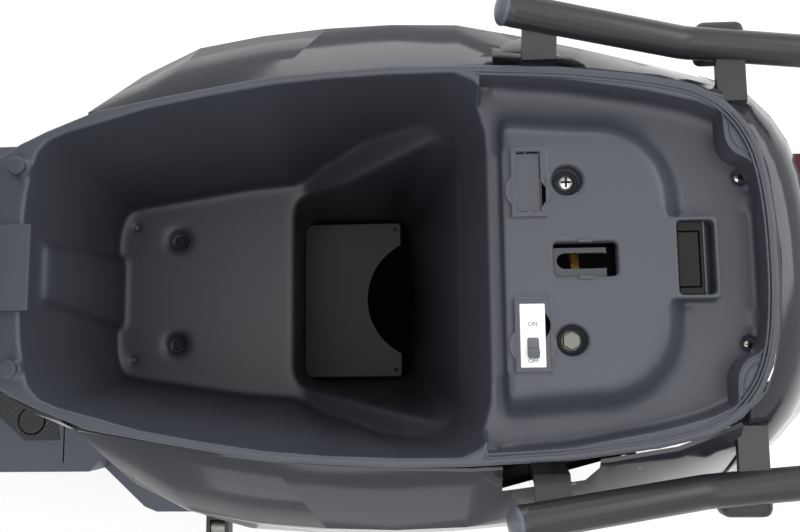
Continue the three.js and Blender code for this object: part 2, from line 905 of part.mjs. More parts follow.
function caliper() {
  const top = discRadius + caliperSlot;
  const low = top - caliperDepth;
  const outer = legY - sliderRadius - gap;
  const slotMiddle = discY + discThickness / 2;
  const body = box([low, outer - caliperWidth + caliperSlot, -caliperLength / 2],
    [top, outer, caliperLength / 2]);
  const slot = box(
    [low - overrun, slotMiddle - caliperSlot / 2, -caliperLength / 2 - overrun],
    [discRadius + discThickness / 2, slotMiddle + caliperSlot / 2, caliperLength / 2 + overrun],
  );
  const angleDegrees = 122;
  return moved(body.subtract(slot), new THREE.Matrix4().makeRotationY(-radians(angleDegrees)));
}

addPiece('fork_upper', forkUpper(), satinBlack, fork);
addPiece('fork_sliders', forkSliders(), bareAlloy, fork);
addPiece('front_caliper', caliper(), satinBlack, fork);
addPiece('front_axle', axle(frontAxle, legY + sliderRadius), zincSteel);
addPiece('front_fender', mudguard(
  frontAxle, fenderRadius, fenderHalfWidth, fenderDrop, fenderWall, fenderStartDegrees, fenderEndDegrees,
), glossBlack);

// Handlebar and what is on it
const barHeight = (barCentreZ - onSteeringAxis(0).z) / forkUp.z;
const barCentre = onSteeringAxis(barHeight);
const barKink = vec(barCentre.x - barKinkBack, barKinkY, barCentre.z + barRise);
const barEnd = vec(barCentre.x - barSweepBack, barHalfWidth, barCentre.z + barRise - barDrop);
const gripWay = barEnd.clone().sub(barKink).normalize();
const gripUp = vec(0, 0, 1).addScaledVector(gripWay, -gripWay.z).normalize();
const gripRear = gripUp.clone().cross(gripWay);
const gripMatrix = new THREE.Matrix4().makeBasis(gripWay, gripRear, gripUp).setPosition(barKink);
const onGrip = (solid) => moved(solid, gripMatrix);
const barRun = barEnd.distanceTo(barKink);
const gripStart = barRun - gripLength + gripFlangeWidth;
const podEnd = gripStart - gap * 2;
const podStart = podEnd - podLength;
const alongGrip = (x0, x1, y, z, radius, sides) => bar(vec(x0, y, z), vec(x1, y, z), radius, sides);
const leverPivotX = podStart + leverPivotRadius;
const leverPivotDepth = -podRadius - leverPivotRadius - gap * 3;

function barTube(radius) {
  const across = (p) => vec(p.x, -p.y, p.z);
  const flat = vec(barCentre.x, barStraight / 2 + stemClampWidth / 2, barCentre.z);
  return pipe([barEnd, barKink, flat, across(flat), across(barKink), across(barEnd)], radius,
    barRadius * 4);
}

function handlebar() {
  const stemBottom = onSteeringAxis(headTubeEnd + gap * 4);
  const clampTop = onSteeringAxis(steererEnd);
  const sleeve = bar(stemBottom, clampTop, stemClampRadius, roundSides / 2)
    .subtract(bar(onSteeringAxis(headTubeEnd - overrun), onSteeringAxis(steererEnd + gap * 4),
      steererRadius + gap, roundSides / 2));
  const stem = bar(onSteeringAxis(steererEnd - gap), barCentre, stemRadius, roundSides / 2)
    .subtract(bar(onSteeringAxis(headTubeEnd), onSteeringAxis(steererEnd + gap), steererRadius + gap,
      roundSides / 2));
  const cap = bar(onSteeringAxis(steererEnd + gap * 3), onSteeringAxis(steererEnd + stemClampRadius),
    stemClampRadius,
    roundSides / 2, stemRadius);
  const clamp = crossBar(barCentre.x, -stemClampWidth / 2, stemClampWidth / 2, barCentre.z,
    stemClampRadius * 3 / 4, 16);
  return joined(barTube(barRadius), sleeve, stem, cap, clamp);
}

function grip() {
  const bore = barRadius + gap;
  const endWall = gripFlangeWidth / 2;
  const length = gripLength;
  const chamfer = gripFlangeWidth / 3;
  return onGrip(turned([
    [0, length - endWall], [bore, length - endWall], [bore, 0], [gripFlange, 0],
    [gripFlange, gripFlangeWidth],
    [gripRadius, gripFlangeWidth], [gripRadius, length - chamfer], [gripRadius - chamfer, length],
    [0, length],
  ], [gripStart, 0, 0], vec(1, 0, 0), roundSides / 2, false));
}

const podFace = podRadius + gripFlangeWidth / 3;
const hornShare = 0.62;
const turnShare = 0.42;
const turnHeightShare = 0.4;
const hornX = mix(podStart, podEnd, hornShare);
const hornZ = -podRadius / 3;
const turnX = mix(podStart, podEnd, turnShare);
const turnZ = podRadius * turnHeightShare;

function switchPod(withSwitches) {
  const thickness = podRadius * 3 / 4;
  const body = joined(
    alongGrip(podStart, podEnd, 0, 0, podRadius, roundSides / 2),
    box([podStart, 0, -thickness], [podEnd, podFace, thickness]),
  );
  const perchZ = -leverThickness / 2 - gap;
  const perchHalf = leverPivotRadius;
  const perch = box(
    [leverPivotX - perchHalf, leverPivotDepth - perchHalf, perchZ - leverPerchThickness],
    [leverPivotX + perchHalf, 0, perchZ],
  );
  const pinRadius = leverPivotRadius / 3;
  const pin = bar(vec(leverPivotX, leverPivotDepth, perchZ - leverPerchThickness / 2),
    vec(leverPivotX, leverPivotDepth, leverThickness / 2 + gap * 3), pinRadius, smallSides);
  const bore = alongGrip(podStart - overrun, podEnd + overrun, 0, 0, barRadius + gap, roundSides / 2);
  if (!withSwitches) return onGrip(cut(joined(body, perch, pin), bore));
  const floor = podFace - buttonHeight;
  const hornHole = bar(vec(hornX, floor, hornZ), vec(hornX, podFace + overrun, hornZ), buttonRadius + gap,
    pipeSides);
  const slotHalf = sliderKnobLength / 2 + sliderKnobTravel + gap;
  const turnSlot = box([turnX - slotHalf, floor, turnZ - sliderKnobWidth / 2 - gap],
    [turnX + slotHalf, podFace + overrun, turnZ + sliderKnobWidth / 2 + gap]);
  return onGrip(cut(joined(body, perch, pin), bore, hornHole, turnSlot));
}

function brakeLever() {
  const tip = leverPivotX + leverLength;
  const reach = -leverReach;
  const blade = leverThickness;
  const kneeShare = 0.3;
  const bladeShare = 0.94;
  const knee = mix(leverPivotX, tip, kneeShare);
  const bladeEnd = mix(leverPivotX, tip, bladeShare);
  const flare = reach - blade;
  const outline = slab([
    [leverPivotX, leverPivotDepth + leverPivotRadius], [leverPivotX - leverPivotRadius, leverPivotDepth],
    [leverPivotX, leverPivotDepth - leverPivotRadius * 2], [knee, reach - blade / 2],
    [bladeEnd, flare - blade / 2], [tip, flare - blade], [tip + blade / 2, flare],
    [bladeEnd, flare + blade / 2], [knee, reach + blade / 2],
    [leverPivotX + leverPivotRadius, leverPivotDepth + leverPivotRadius / 2],
  ], -leverThickness / 2, leverThickness / 2);
  const hole = bar(vec(leverPivotX, leverPivotDepth, -leverThickness),
    vec(leverPivotX, leverPivotDepth, leverThickness),
    leverPivotRadius / 3 + gap, boreSides);
  return onGrip(outline.subtract(hole));
}

function hornButton() {
  const low = podFace - buttonHeight + buttonTravel + gap;
  return onGrip(bar(vec(hornX, low, hornZ), vec(hornX, low + buttonHeight, hornZ), buttonRadius,
    pipeSides));
}

function turnSwitch() {
  const low = podFace - buttonHeight + gap;
  const half = sliderKnobLength / 2;
  return onGrip(joined(
    box([turnX - half, low, turnZ - sliderKnobWidth / 2],
      [turnX + half, podFace + gap, turnZ + sliderKnobWidth / 2]),
    box([turnX - half / 3, podFace, turnZ - sliderKnobWidth / 2],
      [turnX + half / 3, podFace + sliderKnobTravel, turnZ + sliderKnobWidth / 2]),
  ));
}

function mirror() {
  const foot = vec(mix(podStart, podEnd, 1 / 2), 0, podRadius + gap * 3).applyMatrix4(gripMatrix);
  const bend = foot.clone().add(vec(0, 0, mirrorRise / 2));
  const head = foot.clone().add(vec(0, mirrorStemOut, mirrorRise));
  const stem = pipe([foot, bend, head], mirrorStemRadius, mirrorRise / 4, smallSides);
  const halfWide = mirrorWidth / 2;
  const halfHigh = mirrorHeight / 2;
  const outlineShares = [
    [-1, -0.45], [-0.8, -0.9], [-0.3, -1], [0.5, -1], [0.9, -0.75], [1, -0.1],
    [0.92, 0.6], [0.6, 0.95], [0, 1], [-0.6, 0.92], [-0.93, 0.5],
  ];
  const ring = (depthShare, sizeShare) => outlineShares.map(([y, z]) => [
    head.x + (depthShare - 1 / 2) * mirrorDepth,
    head.y + halfWide / 3 + y * halfWide * sizeShare,
    head.z + halfHigh / 4 + z * halfHigh * sizeShare,
  ]);
  const shellShares = [[0, 0.96], [0.15, 1], [0.6, 0.94], [1, 0.6]];
  const shell = loft(shellShares.map(([depth, size]) => ring(depth, size)));
  const collar = bar(foot, foot.clone().add(vec(0, 0, mirrorBallRadius)), mirrorBallRadius, pipeSides);
  return joined(stem, shell, collar);
}

function instrumentCowl() {
  const half = cowlWidth / 2;
  const belowBarShare = 0.42;
  const low = barCentre.z - cowlHeight * belowBarShare;
  const cornerShares = [[1, 0.45], [0.6, 0.85], [0, 1], [-0.7, 0.88], [-1, 0.5]];
  const ring = (z, lengthShare, widthShare, shift) => {
    const l = cowlLength / 2 * lengthShare;
    const w = half * widthShare;
    const side = cornerShares.map(([a, b]) => [barCentre.x + shift + l * a, w * b, z]);
    return [...side, ...side.slice().reverse().map(([x, y]) => [x, -y, z])];
  };
  const lean = cowlLength / 16;
  const levelShares = [[0, 0.72, 0.8, 0], [0.35, 0.98, 1, 0], [0.75, 1, 0.96, 1], [1, 0.8, 0.7, 2]];
  const outer = loft(levelShares.map(([h, l, w, k]) => ring(low + h * cowlHeight, l, w, -lean * k)));
  const innerShare = (half - skin) / half;
  const inner = loft(levelShares.map(([h, l, w, k], i) => {
    const z = low + h * cowlHeight + [-overrun, 0, 0, -skin][i];
    return ring(z, l * (cowlLength - 2 * skin) / cowlLength, w * innerShare, -lean * k);
  }));
  return cut(outer, inner, barTube(barRadius + gap));
}

addPiece('handlebar', handlebar(), satinBlack);
addPiece('grip_left', grip(), blackRubber);
addPiece('throttle_grip', mirrored(grip()), blackRubber);
addPiece('switch_pod_left', switchPod(true), satinBlack);
addPiece('switch_pod_right', mirrored(switchPod(false)), satinBlack);
addPair('brake_lever', brakeLever(), bareAlloy);
addPiece('horn_button', hornButton(), satinBlack);
addPiece('turn_switch', turnSwitch(), satinBlack);
addPair('mirror', mirror(), satinBlack);
addPiece('instrument_cowl', instrumentCowl(), glossBlack);

// Main frame
const railPoints = [
  vec(downTubeFootX, railHalfSpacing, floorRailZ),
  vec(railKickX, railHalfSpacing, floorRailZ),
  vec(railRiseX, railHalfSpacing, railRiseZ),
  vec(railUpperX, railUpperHalf, railUpperZ),
  vec(railTailX, railTailHalf, railTailZ),
  vec(railEndX, railEndHalf, railTailZ),
];
const shockTop = vec(shockTopX, shockHalfSpacing, shockTopZ);
const shockBottom = vec(shockBottomX, shockHalfSpacing, shockBottomZ);
const downTube = (radius) => pipe([
  onSteeringAxis(mix(headTubeStart, headTubeEnd, 1 / 2)),
  vec(downTubeKneeX, 0, downTubeKneeZ),
  vec(downTubeFootX, 0, floorRailZ),
], radius, downTubeRadius * 3, pipeSides + 2);

function pegArm() {
  const forkEnd = pegPivotY + pegEyeRadius;
  const low = pegPivotZ - pegArmHeight / 2;
  const arm = box([pegX - pegArmHalf, railHalfSpacing, low],
    [pegX + pegArmHalf, forkEnd, low + pegArmHeight]);
  const cheek = pegArmHalf / 3;
  const opening = box(
    [pegX - pegArmHalf + cheek, pegPivotY - pegEyeRadius - pegForkGap, low - overrun],
    [pegX + pegArmHalf - cheek, forkEnd + overrun, low + pegArmHeight + overrun],
  );
  const pin = bar(vec(pegX - pegArmHalf + gap, pegPivotY, pegPivotZ),
    vec(pegX + pegArmHalf - gap, pegPivotY, pegPivotZ),
    pegPinRadius);
  return arm.subtract(opening).add(pin);
}

function mainFrame() {
  const headTube = bar(onSteeringAxis(headTubeStart), onSteeringAxis(headTubeEnd), headTubeRadius,
    roundSides / 2);
  const bore = bar(onSteeringAxis(headTubeStart - overrun), onSteeringAxis(headTubeEnd + overrun),
    steererRadius + headTubeBoreFit, roundSides / 2);
  const frontTube = crossBar(downTubeFootX, -railHalfSpacing, railHalfSpacing, floorRailZ, crossTubeRadius);
  const plateInner = pivotPlateHalf - pivotPlateThickness / 2;
  const plateOuter = pivotPlateHalf + pivotPlateThickness / 2;
  const plateMargin = standTubeRadius * 2;
  const plateTop = railRiseZ;
  const plateFrontShare = 0.6375;
  const half = joined(
    pipe(railPoints, railRadius, railRadius * 4),
    sideSlab([
      [standPivotX + plateMargin, standPivotZ],
      [mix(railKickX, railRiseX, plateFrontShare), floorRailZ + plateMargin],
      [railRiseX, plateTop], [swingPivotX - plateMargin / 2, swingPivotZ + plateMargin],
      [swingPivotX - plateMargin, swingPivotZ - plateMargin / 2],
      [standPivotX - plateMargin / 2, standPivotZ - plateMargin],
      [standPivotX + plateMargin / 2, standPivotZ - plateMargin],
    ], plateInner, plateOuter),
    sideSlab([
      [shockTopX - shockEyeRadius * 2, crossTubeZ], [shockTopX + shockEyeRadius * 2, crossTubeZ],
      [shockTopX + shockEyeRadius, shockTopZ - shockEyeRadius],
      [shockTopX - shockEyeRadius, shockTopZ - shockEyeRadius],
    ], shockHalfSpacing + shockEyeWidth / 2 + gap * 3,
    shockHalfSpacing + shockEyeWidth / 2 + guardWall * 2),
    crossBar(shockTopX, shockHalfSpacing - shockEyeWidth / 2 - gap * 4,
      shockHalfSpacing + shockEyeWidth / 2 + skin,
      shockTopZ, shockBoltRadius),
    uprightBar(tubPostX, tubPostY, floorRailZ, frontFloorZ - skin - gap - tubPostRadius, tubPostRadius),
    pegArm(),
  );
  const parts = [
    frontTube,
    half,
    mirrored(half),
    crossBar(bellyTubeX, -railHalfSpacing, railHalfSpacing, floorRailZ, crossTubeRadius),
    crossBar(tubPostX, -tubPostY - tubPostRadius, tubPostY + tubPostRadius,
      frontFloorZ - skin - gap - tubPostRadius, tubPostRadius),
    bar(vec(bellyTubeX, -tubPostY, floorRailZ), vec(tubPostX, -tubPostY, floorRailZ), tubPostRadius),
    bar(vec(bellyTubeX, tubPostY, floorRailZ), vec(tubPostX, tubPostY, floorRailZ), tubPostRadius),
    crossBar(crossTubeX, -railTailHalf, railTailHalf, crossTubeZ, crossTubeRadius),
    crossBar(swingPivotX, -plateOuter, plateOuter, swingPivotZ, pivotBoltRadius),
    crossBar(standPivotX, -plateOuter, plateOuter, standPivotZ, pivotBoltRadius),
    downTube(downTubeRadius),
    headTube,
  ];
  return joined(...parts).subtract(bore);
}

// Rear suspension
function swingarm() {
  const inner = armHalfSpacing - armThickness / 2;
  const outer = armHalfSpacing + armThickness / 2;
  const way = new THREE.Vector2(rearAxle.x - swingPivotX, rearAxle.z - swingPivotZ).normalize();
  const point = (along, above) => [
    swingPivotX + way.x * along + way.y * above, swingPivotZ + way.y * along - way.x * above,
  ];
  const run = Math.hypot(rearAxle.x - swingPivotX, rearAxle.z - swingPivotZ);
  const [half, endHalf] = [armHeight / 2, armEndHeight / 2];
  const lugShare = (shockBottomX - swingPivotX) / (rearAxle.x - swingPivotX);
  const armSide = sideSlab([
    point(0, half), point(run * lugShare - shockEyeRadius * 3, half),
    [shockBottomX + shockEyeRadius, shockBottomZ + shockEyeRadius / 2],
    [shockBottomX - shockEyeRadius, shockBottomZ + shockEyeRadius / 2],
    point(run + axleReach, endHalf / 2), point(run + axleReach, -endHalf),
    point(run * lugShare, -endHalf), point(0, -half),
  ], inner, outer);
  const spacerInner = motorWidth / 2 + gap;
  const half3 = joined(
    armSide,
    crossBar(rearAxle.x, spacerInner, inner + gap, rearAxle.z, axleRadius * 2),
    crossBar(shockBottomX, inner, shockHalfSpacing + shockEyeWidth / 2 + skin, shockBottomZ,
      shockBoltRadius),
  );
  const tubeHalf = pivotPlateHalf - pivotPlateThickness / 2 - gap;
  const tube = crossBar(swingPivotX, -tubeHalf, tubeHalf, swingPivotZ, swingPivotRadius, roundSides / 2);
  const bores = [
    crossBar(swingPivotX, -tubeHalf - overrun, tubeHalf + overrun, swingPivotZ, pivotBoltRadius + gap,
      boreSides),
    crossBar(rearAxle.x, -outer - overrun, outer + overrun, rearAxle.z, axleRadius + gap, boreSides),
  ];
  return cut(joined(tube, half3, mirrored(half3)), ...bores);
}

const shockWay = shockTop.clone().sub(shockBottom).normalize();
const shockLength = shockTop.distanceTo(shockBottom);
const alongShock = (fromTop) => shockTop.clone().addScaledVector(shockWay, -fromTop);

function shockEye(at) {
  const half = shockEyeWidth / 2;
  return [
    crossBar(at.x, at.y - half, at.y + half, at.z, shockEyeRadius),
    crossBar(at.x, at.y - half - overrun, at.y + half + overrun, at.z, shockBoltRadius + gap, boreSides),
  ];
}

function shockBody() {
  const [eye, hole] = shockEye(shockTop);
  const neckEnd = springTopOffset - springSeatThickness;
  const neck = bar(shockTop, alongShock(springTopOffset), damperBoreRadius - gap);
  const tube = bar(alongShock(neckEnd), alongShock(damperLength), damperRadius);
  const seat = bar(alongShock(springTopOffset), alongShock(springTopOffset + springSeatThickness),
    springSeatRadius, roundSides / 2);
  const bore = bar(alongShock(damperWall), alongShock(damperLength + overrun), damperBoreRadius);
  return cut(joined(tube, neck, seat, eye), hole, bore);
}

function shockRod() {
  const [eye, hole] = shockEye(shockBottom);
  const rod = bar(shockBottom, alongShock(damperWall + shockStroke + gap), damperRodRadius);
  const seatAt = shockLength - springBottomOffset;
  const seat = bar(alongShock(seatAt), alongShock(seatAt + springSeatThickness), springSeatRadius,
    roundSides / 2);
  const neck = bar(shockBottom, alongShock(seatAt + gap), damperBoreRadius);
  return cut(joined(rod, neck, seat, eye), hole);
}

// One wire wound round the damper, its two ends closed flat.
function shockSpring() {
  const start = springTopOffset + springSeatThickness + springWireRadius + gap;
  const end = shockLength - springBottomOffset - springWireRadius - gap;
  const side = vec(0, 1, 0);
  const out = side.clone().cross(shockWay).normalize();
  const steps = springTurns * springStepsPerTurn;
  const at = (i) => {
    const a = 2 * Math.PI * i / springStepsPerTurn;
    return alongShock(mix(start, end, i / steps))
      .addScaledVector(out, springRadius * Math.cos(a)).addScaledVector(side, springRadius * Math.sin(a));
  };
  const rings = [];
  for (let i = 0; i <= steps; i++) {
    const heading = at(i + 1 / 2).sub(at(i - 1 / 2)).normalize();
    const centre = at(i);
    const axisPoint = alongShock(mix(start, end, i / steps));
    const radial = centre.clone().sub(axisPoint).normalize();
    const third = heading.clone().cross(radial);
    const ring = [];
    for (let k = 0; k < springSides; k++) {
      const b = 2 * Math.PI * k / springSides;
      ring.push(centre.clone().addScaledVector(radial, springWireRadius * Math.cos(b))
        .addScaledVector(third, springWireRadius * Math.sin(b)).toArray());
    }
    rings.push(ring);
  }
  const perTurn = springStepsPerTurn;
  let nearest = Infinity;
  for (let i = 0; i + perTurn < rings.length; i++) {
    for (let j = i + perTurn - 2; j <= Math.min(i + perTurn + 2, rings.length - 1); j++) {
      for (const p of rings[i]) {
        for (const q of rings[j]) nearest = Math.min(nearest, vec(...p).distanceTo(vec(...q)));
      }
    }
  }
  console.log(`least gap between spring turns: ${nearest.toFixed(1)} mm`);
  return loft(rings);
}

function centreStand() {
  const tubeHalf = pivotPlateHalf - pivotPlateThickness / 2 - gap;
  const footTop = standPadThickness / 2;
  const hip = vec(standPivotX, standHalfTop, standPivotZ);
  const foot = vec(standFootX, standHalfFoot, footTop + standLegRadius);
  const braceAt = hip.clone().lerp(foot, standBraceDistance / hip.distanceTo(foot));
  const half = joined(
    bar(hip, foot, standLegRadius),
    box([standFootX - standPadLength / 2, standHalfFoot - standPadWidth / 2, 0],
      [standFootX + standPadLength / 2, standHalfFoot + standPadWidth / 2, standPadThickness]),
    uprightBar(standFootX, standHalfFoot, standPadThickness / 2, foot.z + gap, standLegRadius),
  );
  const tube = crossBar(standPivotX, -tubeHalf, tubeHalf, standPivotZ, standTubeRadius, roundSides / 2);
  const brace = crossBar(braceAt.x, -braceAt.y, braceAt.y, braceAt.z, standLegRadius - gap * 4);
  const bore = crossBar(standPivotX, -tubeHalf - overrun, tubeHalf + overrun, standPivotZ,
    pivotBoltRadius + gap, boreSides);
  return cut(joined(tube, half, mirrored(half), brace), bore);
}

addPiece('main_frame', mainFrame(), frameBlack);
addPiece('swingarm', swingarm(), frameBlack);
addPiece('rear_axle', axle(rearAxle, armHalfSpacing + armThickness / 2), zincSteel);
addPair('shock_body', shockBody(), satinBlack);
addPair('shock_rod', shockRod(), zincSteel);
addPair('shock_spring', shockSpring(), chromeSteel);
addPiece('centre_stand', centreStand(), frameBlack);

// Battery, controller, floorboard and belly pan
function roundedPlan(x0, x1, half, corner, z0, z1) {
  const edge = [[x1 - corner, half], [x0 + corner, half]];
  return slab(bothSides([[x1, half - corner], ...edge, [x0, half - corner]]), z0, z1);
}

function battery() {
  const corner = batteryHeight / 12;
  const rear = batteryFrontX - batteryLength;
  return roundedPlan(rear, batteryFrontX, batteryWidth / 2, corner, batteryBottomZ,
    batteryBottomZ + batteryHeight);
}

function controller() {
  const top = controllerBottomZ + controllerHeight;
  const front = controllerRearX + controllerLength;
  const finTop = top + controllerFinHeight;
  const pitch = controllerWidth / (controllerFinCount * 2 - 1);
  let body = middleBox(controllerRearX, front, controllerWidth / 2, controllerBottomZ, top);
  for (let i = 0; i < controllerFinCount; i++) {
    const y = -controllerWidth / 2 + pitch * i * 2;
    body = body.add(box([controllerRearX + pitch, y, top - gap], [front - pitch, y + pitch, finTop]));
  }
  return body;
}

const wingFrontShares = [[0, 0], [0.4, 0.45], [0.8, 0.9], [1, 1]];
const wingRearShares = [[0.7, 1], [1, 0.7], [1, 0]];
const wingCurve = (shares, x0, x1) => shares.map(([a, w]) => (
  [mix(x0, x1, a), mix(wingInnerHalf, wingHalf, w)]));
const wingHalfOutline = [
  ...wingCurve(wingFrontShares, wingStartX, wingFullX), ...wingCurve(wingRearShares, wingFullX, wingRearX),
];

function wing() {
  const outer = slab(wingHalfOutline, wingBottomZ, wingTopZ);
  const innerOutline = wingHalfOutline.map(([x, y], i) => [
    Math.max(x, wingRearX + skin) - (i < 4 ? skin : 0), i === 0 || i === 6 ? y - overrun : y - skin,
  ]);
  const hollow = slab(innerOutline, wingBottomZ - overrun, wingTopZ - skin);
  const armHalf = pegArmHalf + gap * 3;
  const lip = pegPivotZ - pegArmHeight / 2 - gap * 3;
  const notch = box([pegX - armHalf, wingInnerHalf - overrun * 2, lip],
    [pegX + armHalf, wingHalf + overrun, wingTopZ + overrun]);
  const sill = box([pegX - armHalf, wingInnerHalf - overrun * 2, wingBottomZ - overrun],
    [pegX + armHalf, wingHalf - skin, wingTopZ + overrun]);
  return cut(outer, hollow, notch, sill);
}

function floorboard() {
  const corner = shieldCornerRadius / 2;
  const top = floorZ + skin / 3;
  const outer = roundedPlan(floorRearX, floorFrontX, floorHalf, corner, skirtBottomZ, top);
  const inner = roundedPlan(floorRearX + skin, floorFrontX - skin, floorHalf - skin, corner - skin / 2,
    skirtBottomZ - overrun, floorZ - skin);
  const wings = [wing(), mirrored(wing())];
  const bridge = joined(
    box([wingFullX, wingInnerHalf - skin, wingTopZ - skin], [floorRearX + skin, floorHalf - gap, wingTopZ]),
    box([wingFullX, -floorHalf + gap, wingTopZ - skin],
      [floorRearX + skin, -wingInnerHalf + skin, wingTopZ]),
  );
  const railRoom = railRadius + skin;
  const roomHalf = railHalfSpacing + railRoom;
  const room = (x0, x1) => middleBox(x0, x1, roomHalf, skirtBottomZ - overrun, floorRailZ + railRoom);
  const rearRoom = room(floorRearX - overrun, floorRearX + corner + overrun);
  const frontRoom = room(floorFrontX - corner - overrun, floorFrontX + overrun);
  return cut(joined(cut(outer, inner, rearRoom, frontRoom), bridge, ...wings),
    downTube(downTubeRadius + gap * 3));
}

function bellyPan() {
  const front = batteryFrontX + skin * 3;
  const rear = batteryFrontX - batteryLength - skin * 3;
  const corner = batteryHeight / 6;
  const outer = roundedPlan(rear, front, bellyHalf, corner, bellyBottomZ, bellyTopZ);
  const inner = roundedPlan(rear + bellyWall, front - bellyWall, bellyHalf - bellyWall, corner - bellyWall,
    bellyBottomZ + bellyWall, bellyTopZ + overrun);
  return outer.subtract(inner);
}

addPiece('battery_pack', battery(), batteryBlue);
addPiece('motor_controller', controller(), bareAlloy);
addPiece('floorboard', floorboard(), satinBlack);
addPiece('belly_pan', bellyPan(), satinBlack);

// Leg shield, apron, headlight and key
const shieldFaceX = (z) => mix(shieldBottomX, shieldTopX,
  (z - floorZ) / (shieldTopZ - floorZ)) - shieldThickness;
const shieldBottomZ = floorZ + skin;
const shieldSlope = (shieldTopX - shieldBottomX) / (shieldTopZ - floorZ);
const shieldShear = new THREE.Matrix4().set(
  1, 0, shieldSlope, shieldBottomX - shieldThickness - shieldSlope * floorZ,
  0, 1, 0, 0,
  0, 0, 1, 0,
  0, 0, 0, 1,
);
const stemRoom = bar(onSteeringAxis(headTubeStart), barCentre, stemClampRadius + skin * 2, roundSides / 2);

function shieldOutline(inset) {
  const low = shieldBottomZ + inset;
  const high = shieldTopZ - inset;
  const corner = shieldCornerRadius;
  const footHalf = floorHalf - inset;
  const half = shieldHalf - inset;
  const shoulderShare = 0.3;
  const left = [
    [footHalf, low], [half, mix(low, high, shoulderShare)], [half, high - corner],
    [half - corner * (1 - Math.SQRT1_2), high - corner * (1 - Math.SQRT1_2)], [half - corner, high],
  ];
  return [...left, ...left.slice().reverse().map(([y, z]) => [-y, z])];
}

function keyBarrel(radius, from, to) {
  return bar(vec(from, keyCentreY, keyCentreZ), vec(to, keyCentreY, keyCentreZ), radius, roundSides / 2);
}

function legShield() {
  const outer = crossSlab(shieldOutline(0), 0, shieldThickness);
  const hollow = crossSlab(shieldOutline(skin), skin, shieldThickness + overrun);
  const pocketBox = (inset, depth) => box(
    [-overrun, pocketCentreY - pocketWidth / 2 + inset, pocketBottomZ + inset],
    [depth, pocketCentreY + pocketWidth / 2 - inset, pocketBottomZ + pocketHeight - inset],
  );
  const pocket = pocketBox(-skin, pocketDepth + skin)
    .subtract(box([-overrun * 2, -shieldHalf, 0], [0, shieldHalf, shieldTopZ + overrun]));
  const shell = cut(outer, hollow).add(pocket).subtract(pocketBox(0, pocketDepth));
  const barrel = keyBarrel(keyBarrelRadius, -skin, shieldThickness - skin * 2);
  const keyway = keyBarrel(keyShank / 2 + gap, -skin - overrun, shieldThickness / 2);
  const leaned = moved(cut(shell.add(barrel), keyway), shieldShear);
  return cut(leaned, downTube(downTubeRadius + gap * 3), stemRoom);
}

function apronRing(z, inset) {
  const share = (z - apronBottomZ) / (shieldTopZ - apronBottomZ);
  const noseShare = (headlightZ - apronBottomZ) / (shieldTopZ - apronBottomZ);
  const peak = share < noseShare ? share / noseShare : (1 - share) / (1 - noseShare);
  const low = share < noseShare ? mix(apronNoseX, apronTopX, 1 / 3) : apronTopX;
  const nose = mix(low, apronNoseX, Math.sin(peak * Math.PI / 2)) - inset;
  const rear = shieldFaceX(z) + shieldThickness + gap;
  const half = apronHalf - inset;
  const widthShares = [[0, 1], [0.3, 0.98], [0.58, 0.82], [0.82, 0.56], [0.96, 0.28], [1, 0]];
  return widthShares.map(([x, y]) => [mix(rear, nose, x), half * y]);
}

function apron() {
  const levelShares = [0, 0.2, 0.42, 0.62, 0.82, 1];
  const rings = levelShares.map((share) => {
    const z = mix(apronBottomZ, shieldTopZ, share);
    const [outer, inner] = [apronRing(z, 0), apronRing(z, skin)];
    const whole = (half) => [...half, ...half.slice(0, -1).reverse().map(([x, y]) => [x, -y])];
    return [...whole(outer), ...whole(inner).reverse()].map(([x, y]) => [x, y, z]);
  });
  const lampRoom = bar(vec(apronNoseX - headlightDepth * 2, 0, headlightZ),
    vec(apronNoseX + headlightDepth, 0, headlightZ),
    headlightRadius + gap * 2, roundSides);
  return cut(loft(rings), lampRoom, stemRoom);
}

function headlight() {
  const back = apronNoseX - headlightDepth;
  const domeShares = [
    [0, 0], [0.6, 0], [1, 0.3], [1, 0.8], [0.94, 0.92], [0.72, 1.02], [0.38, 1.1], [0, 1.13],
  ];
  return turned(domeShares.map(([r, h]) => [r * headlightRadius, h * headlightDepth]),
    [back, 0, headlightZ], vec(1, 0, 0), roundSides, false);
}

function ignitionKey() {
  const face = shieldFaceX(keyCentreZ) - skin;
  const head = face - keyHeadLength / 2;
  return joined(
    bar(vec(head, keyCentreY, keyCentreZ), vec(face + shieldThickness / 3, keyCentreY, keyCentreZ),
      keyShank / 2),
    box([face - keyHeadLength - skin, keyCentreY - keyThickness / 2, keyCentreZ - keyHeadWidth / 2],
      [face - skin, keyCentreY + keyThickness / 2, keyCentreZ + keyHeadWidth / 2]),
  );
}

addPiece('leg_shield', legShield(), satinBlack);
addPiece('front_apron', apron(), glossBlack);
addPiece('headlight', headlight(), clearLens);
addPiece('ignition_key', ignitionKey(), zincSteel);

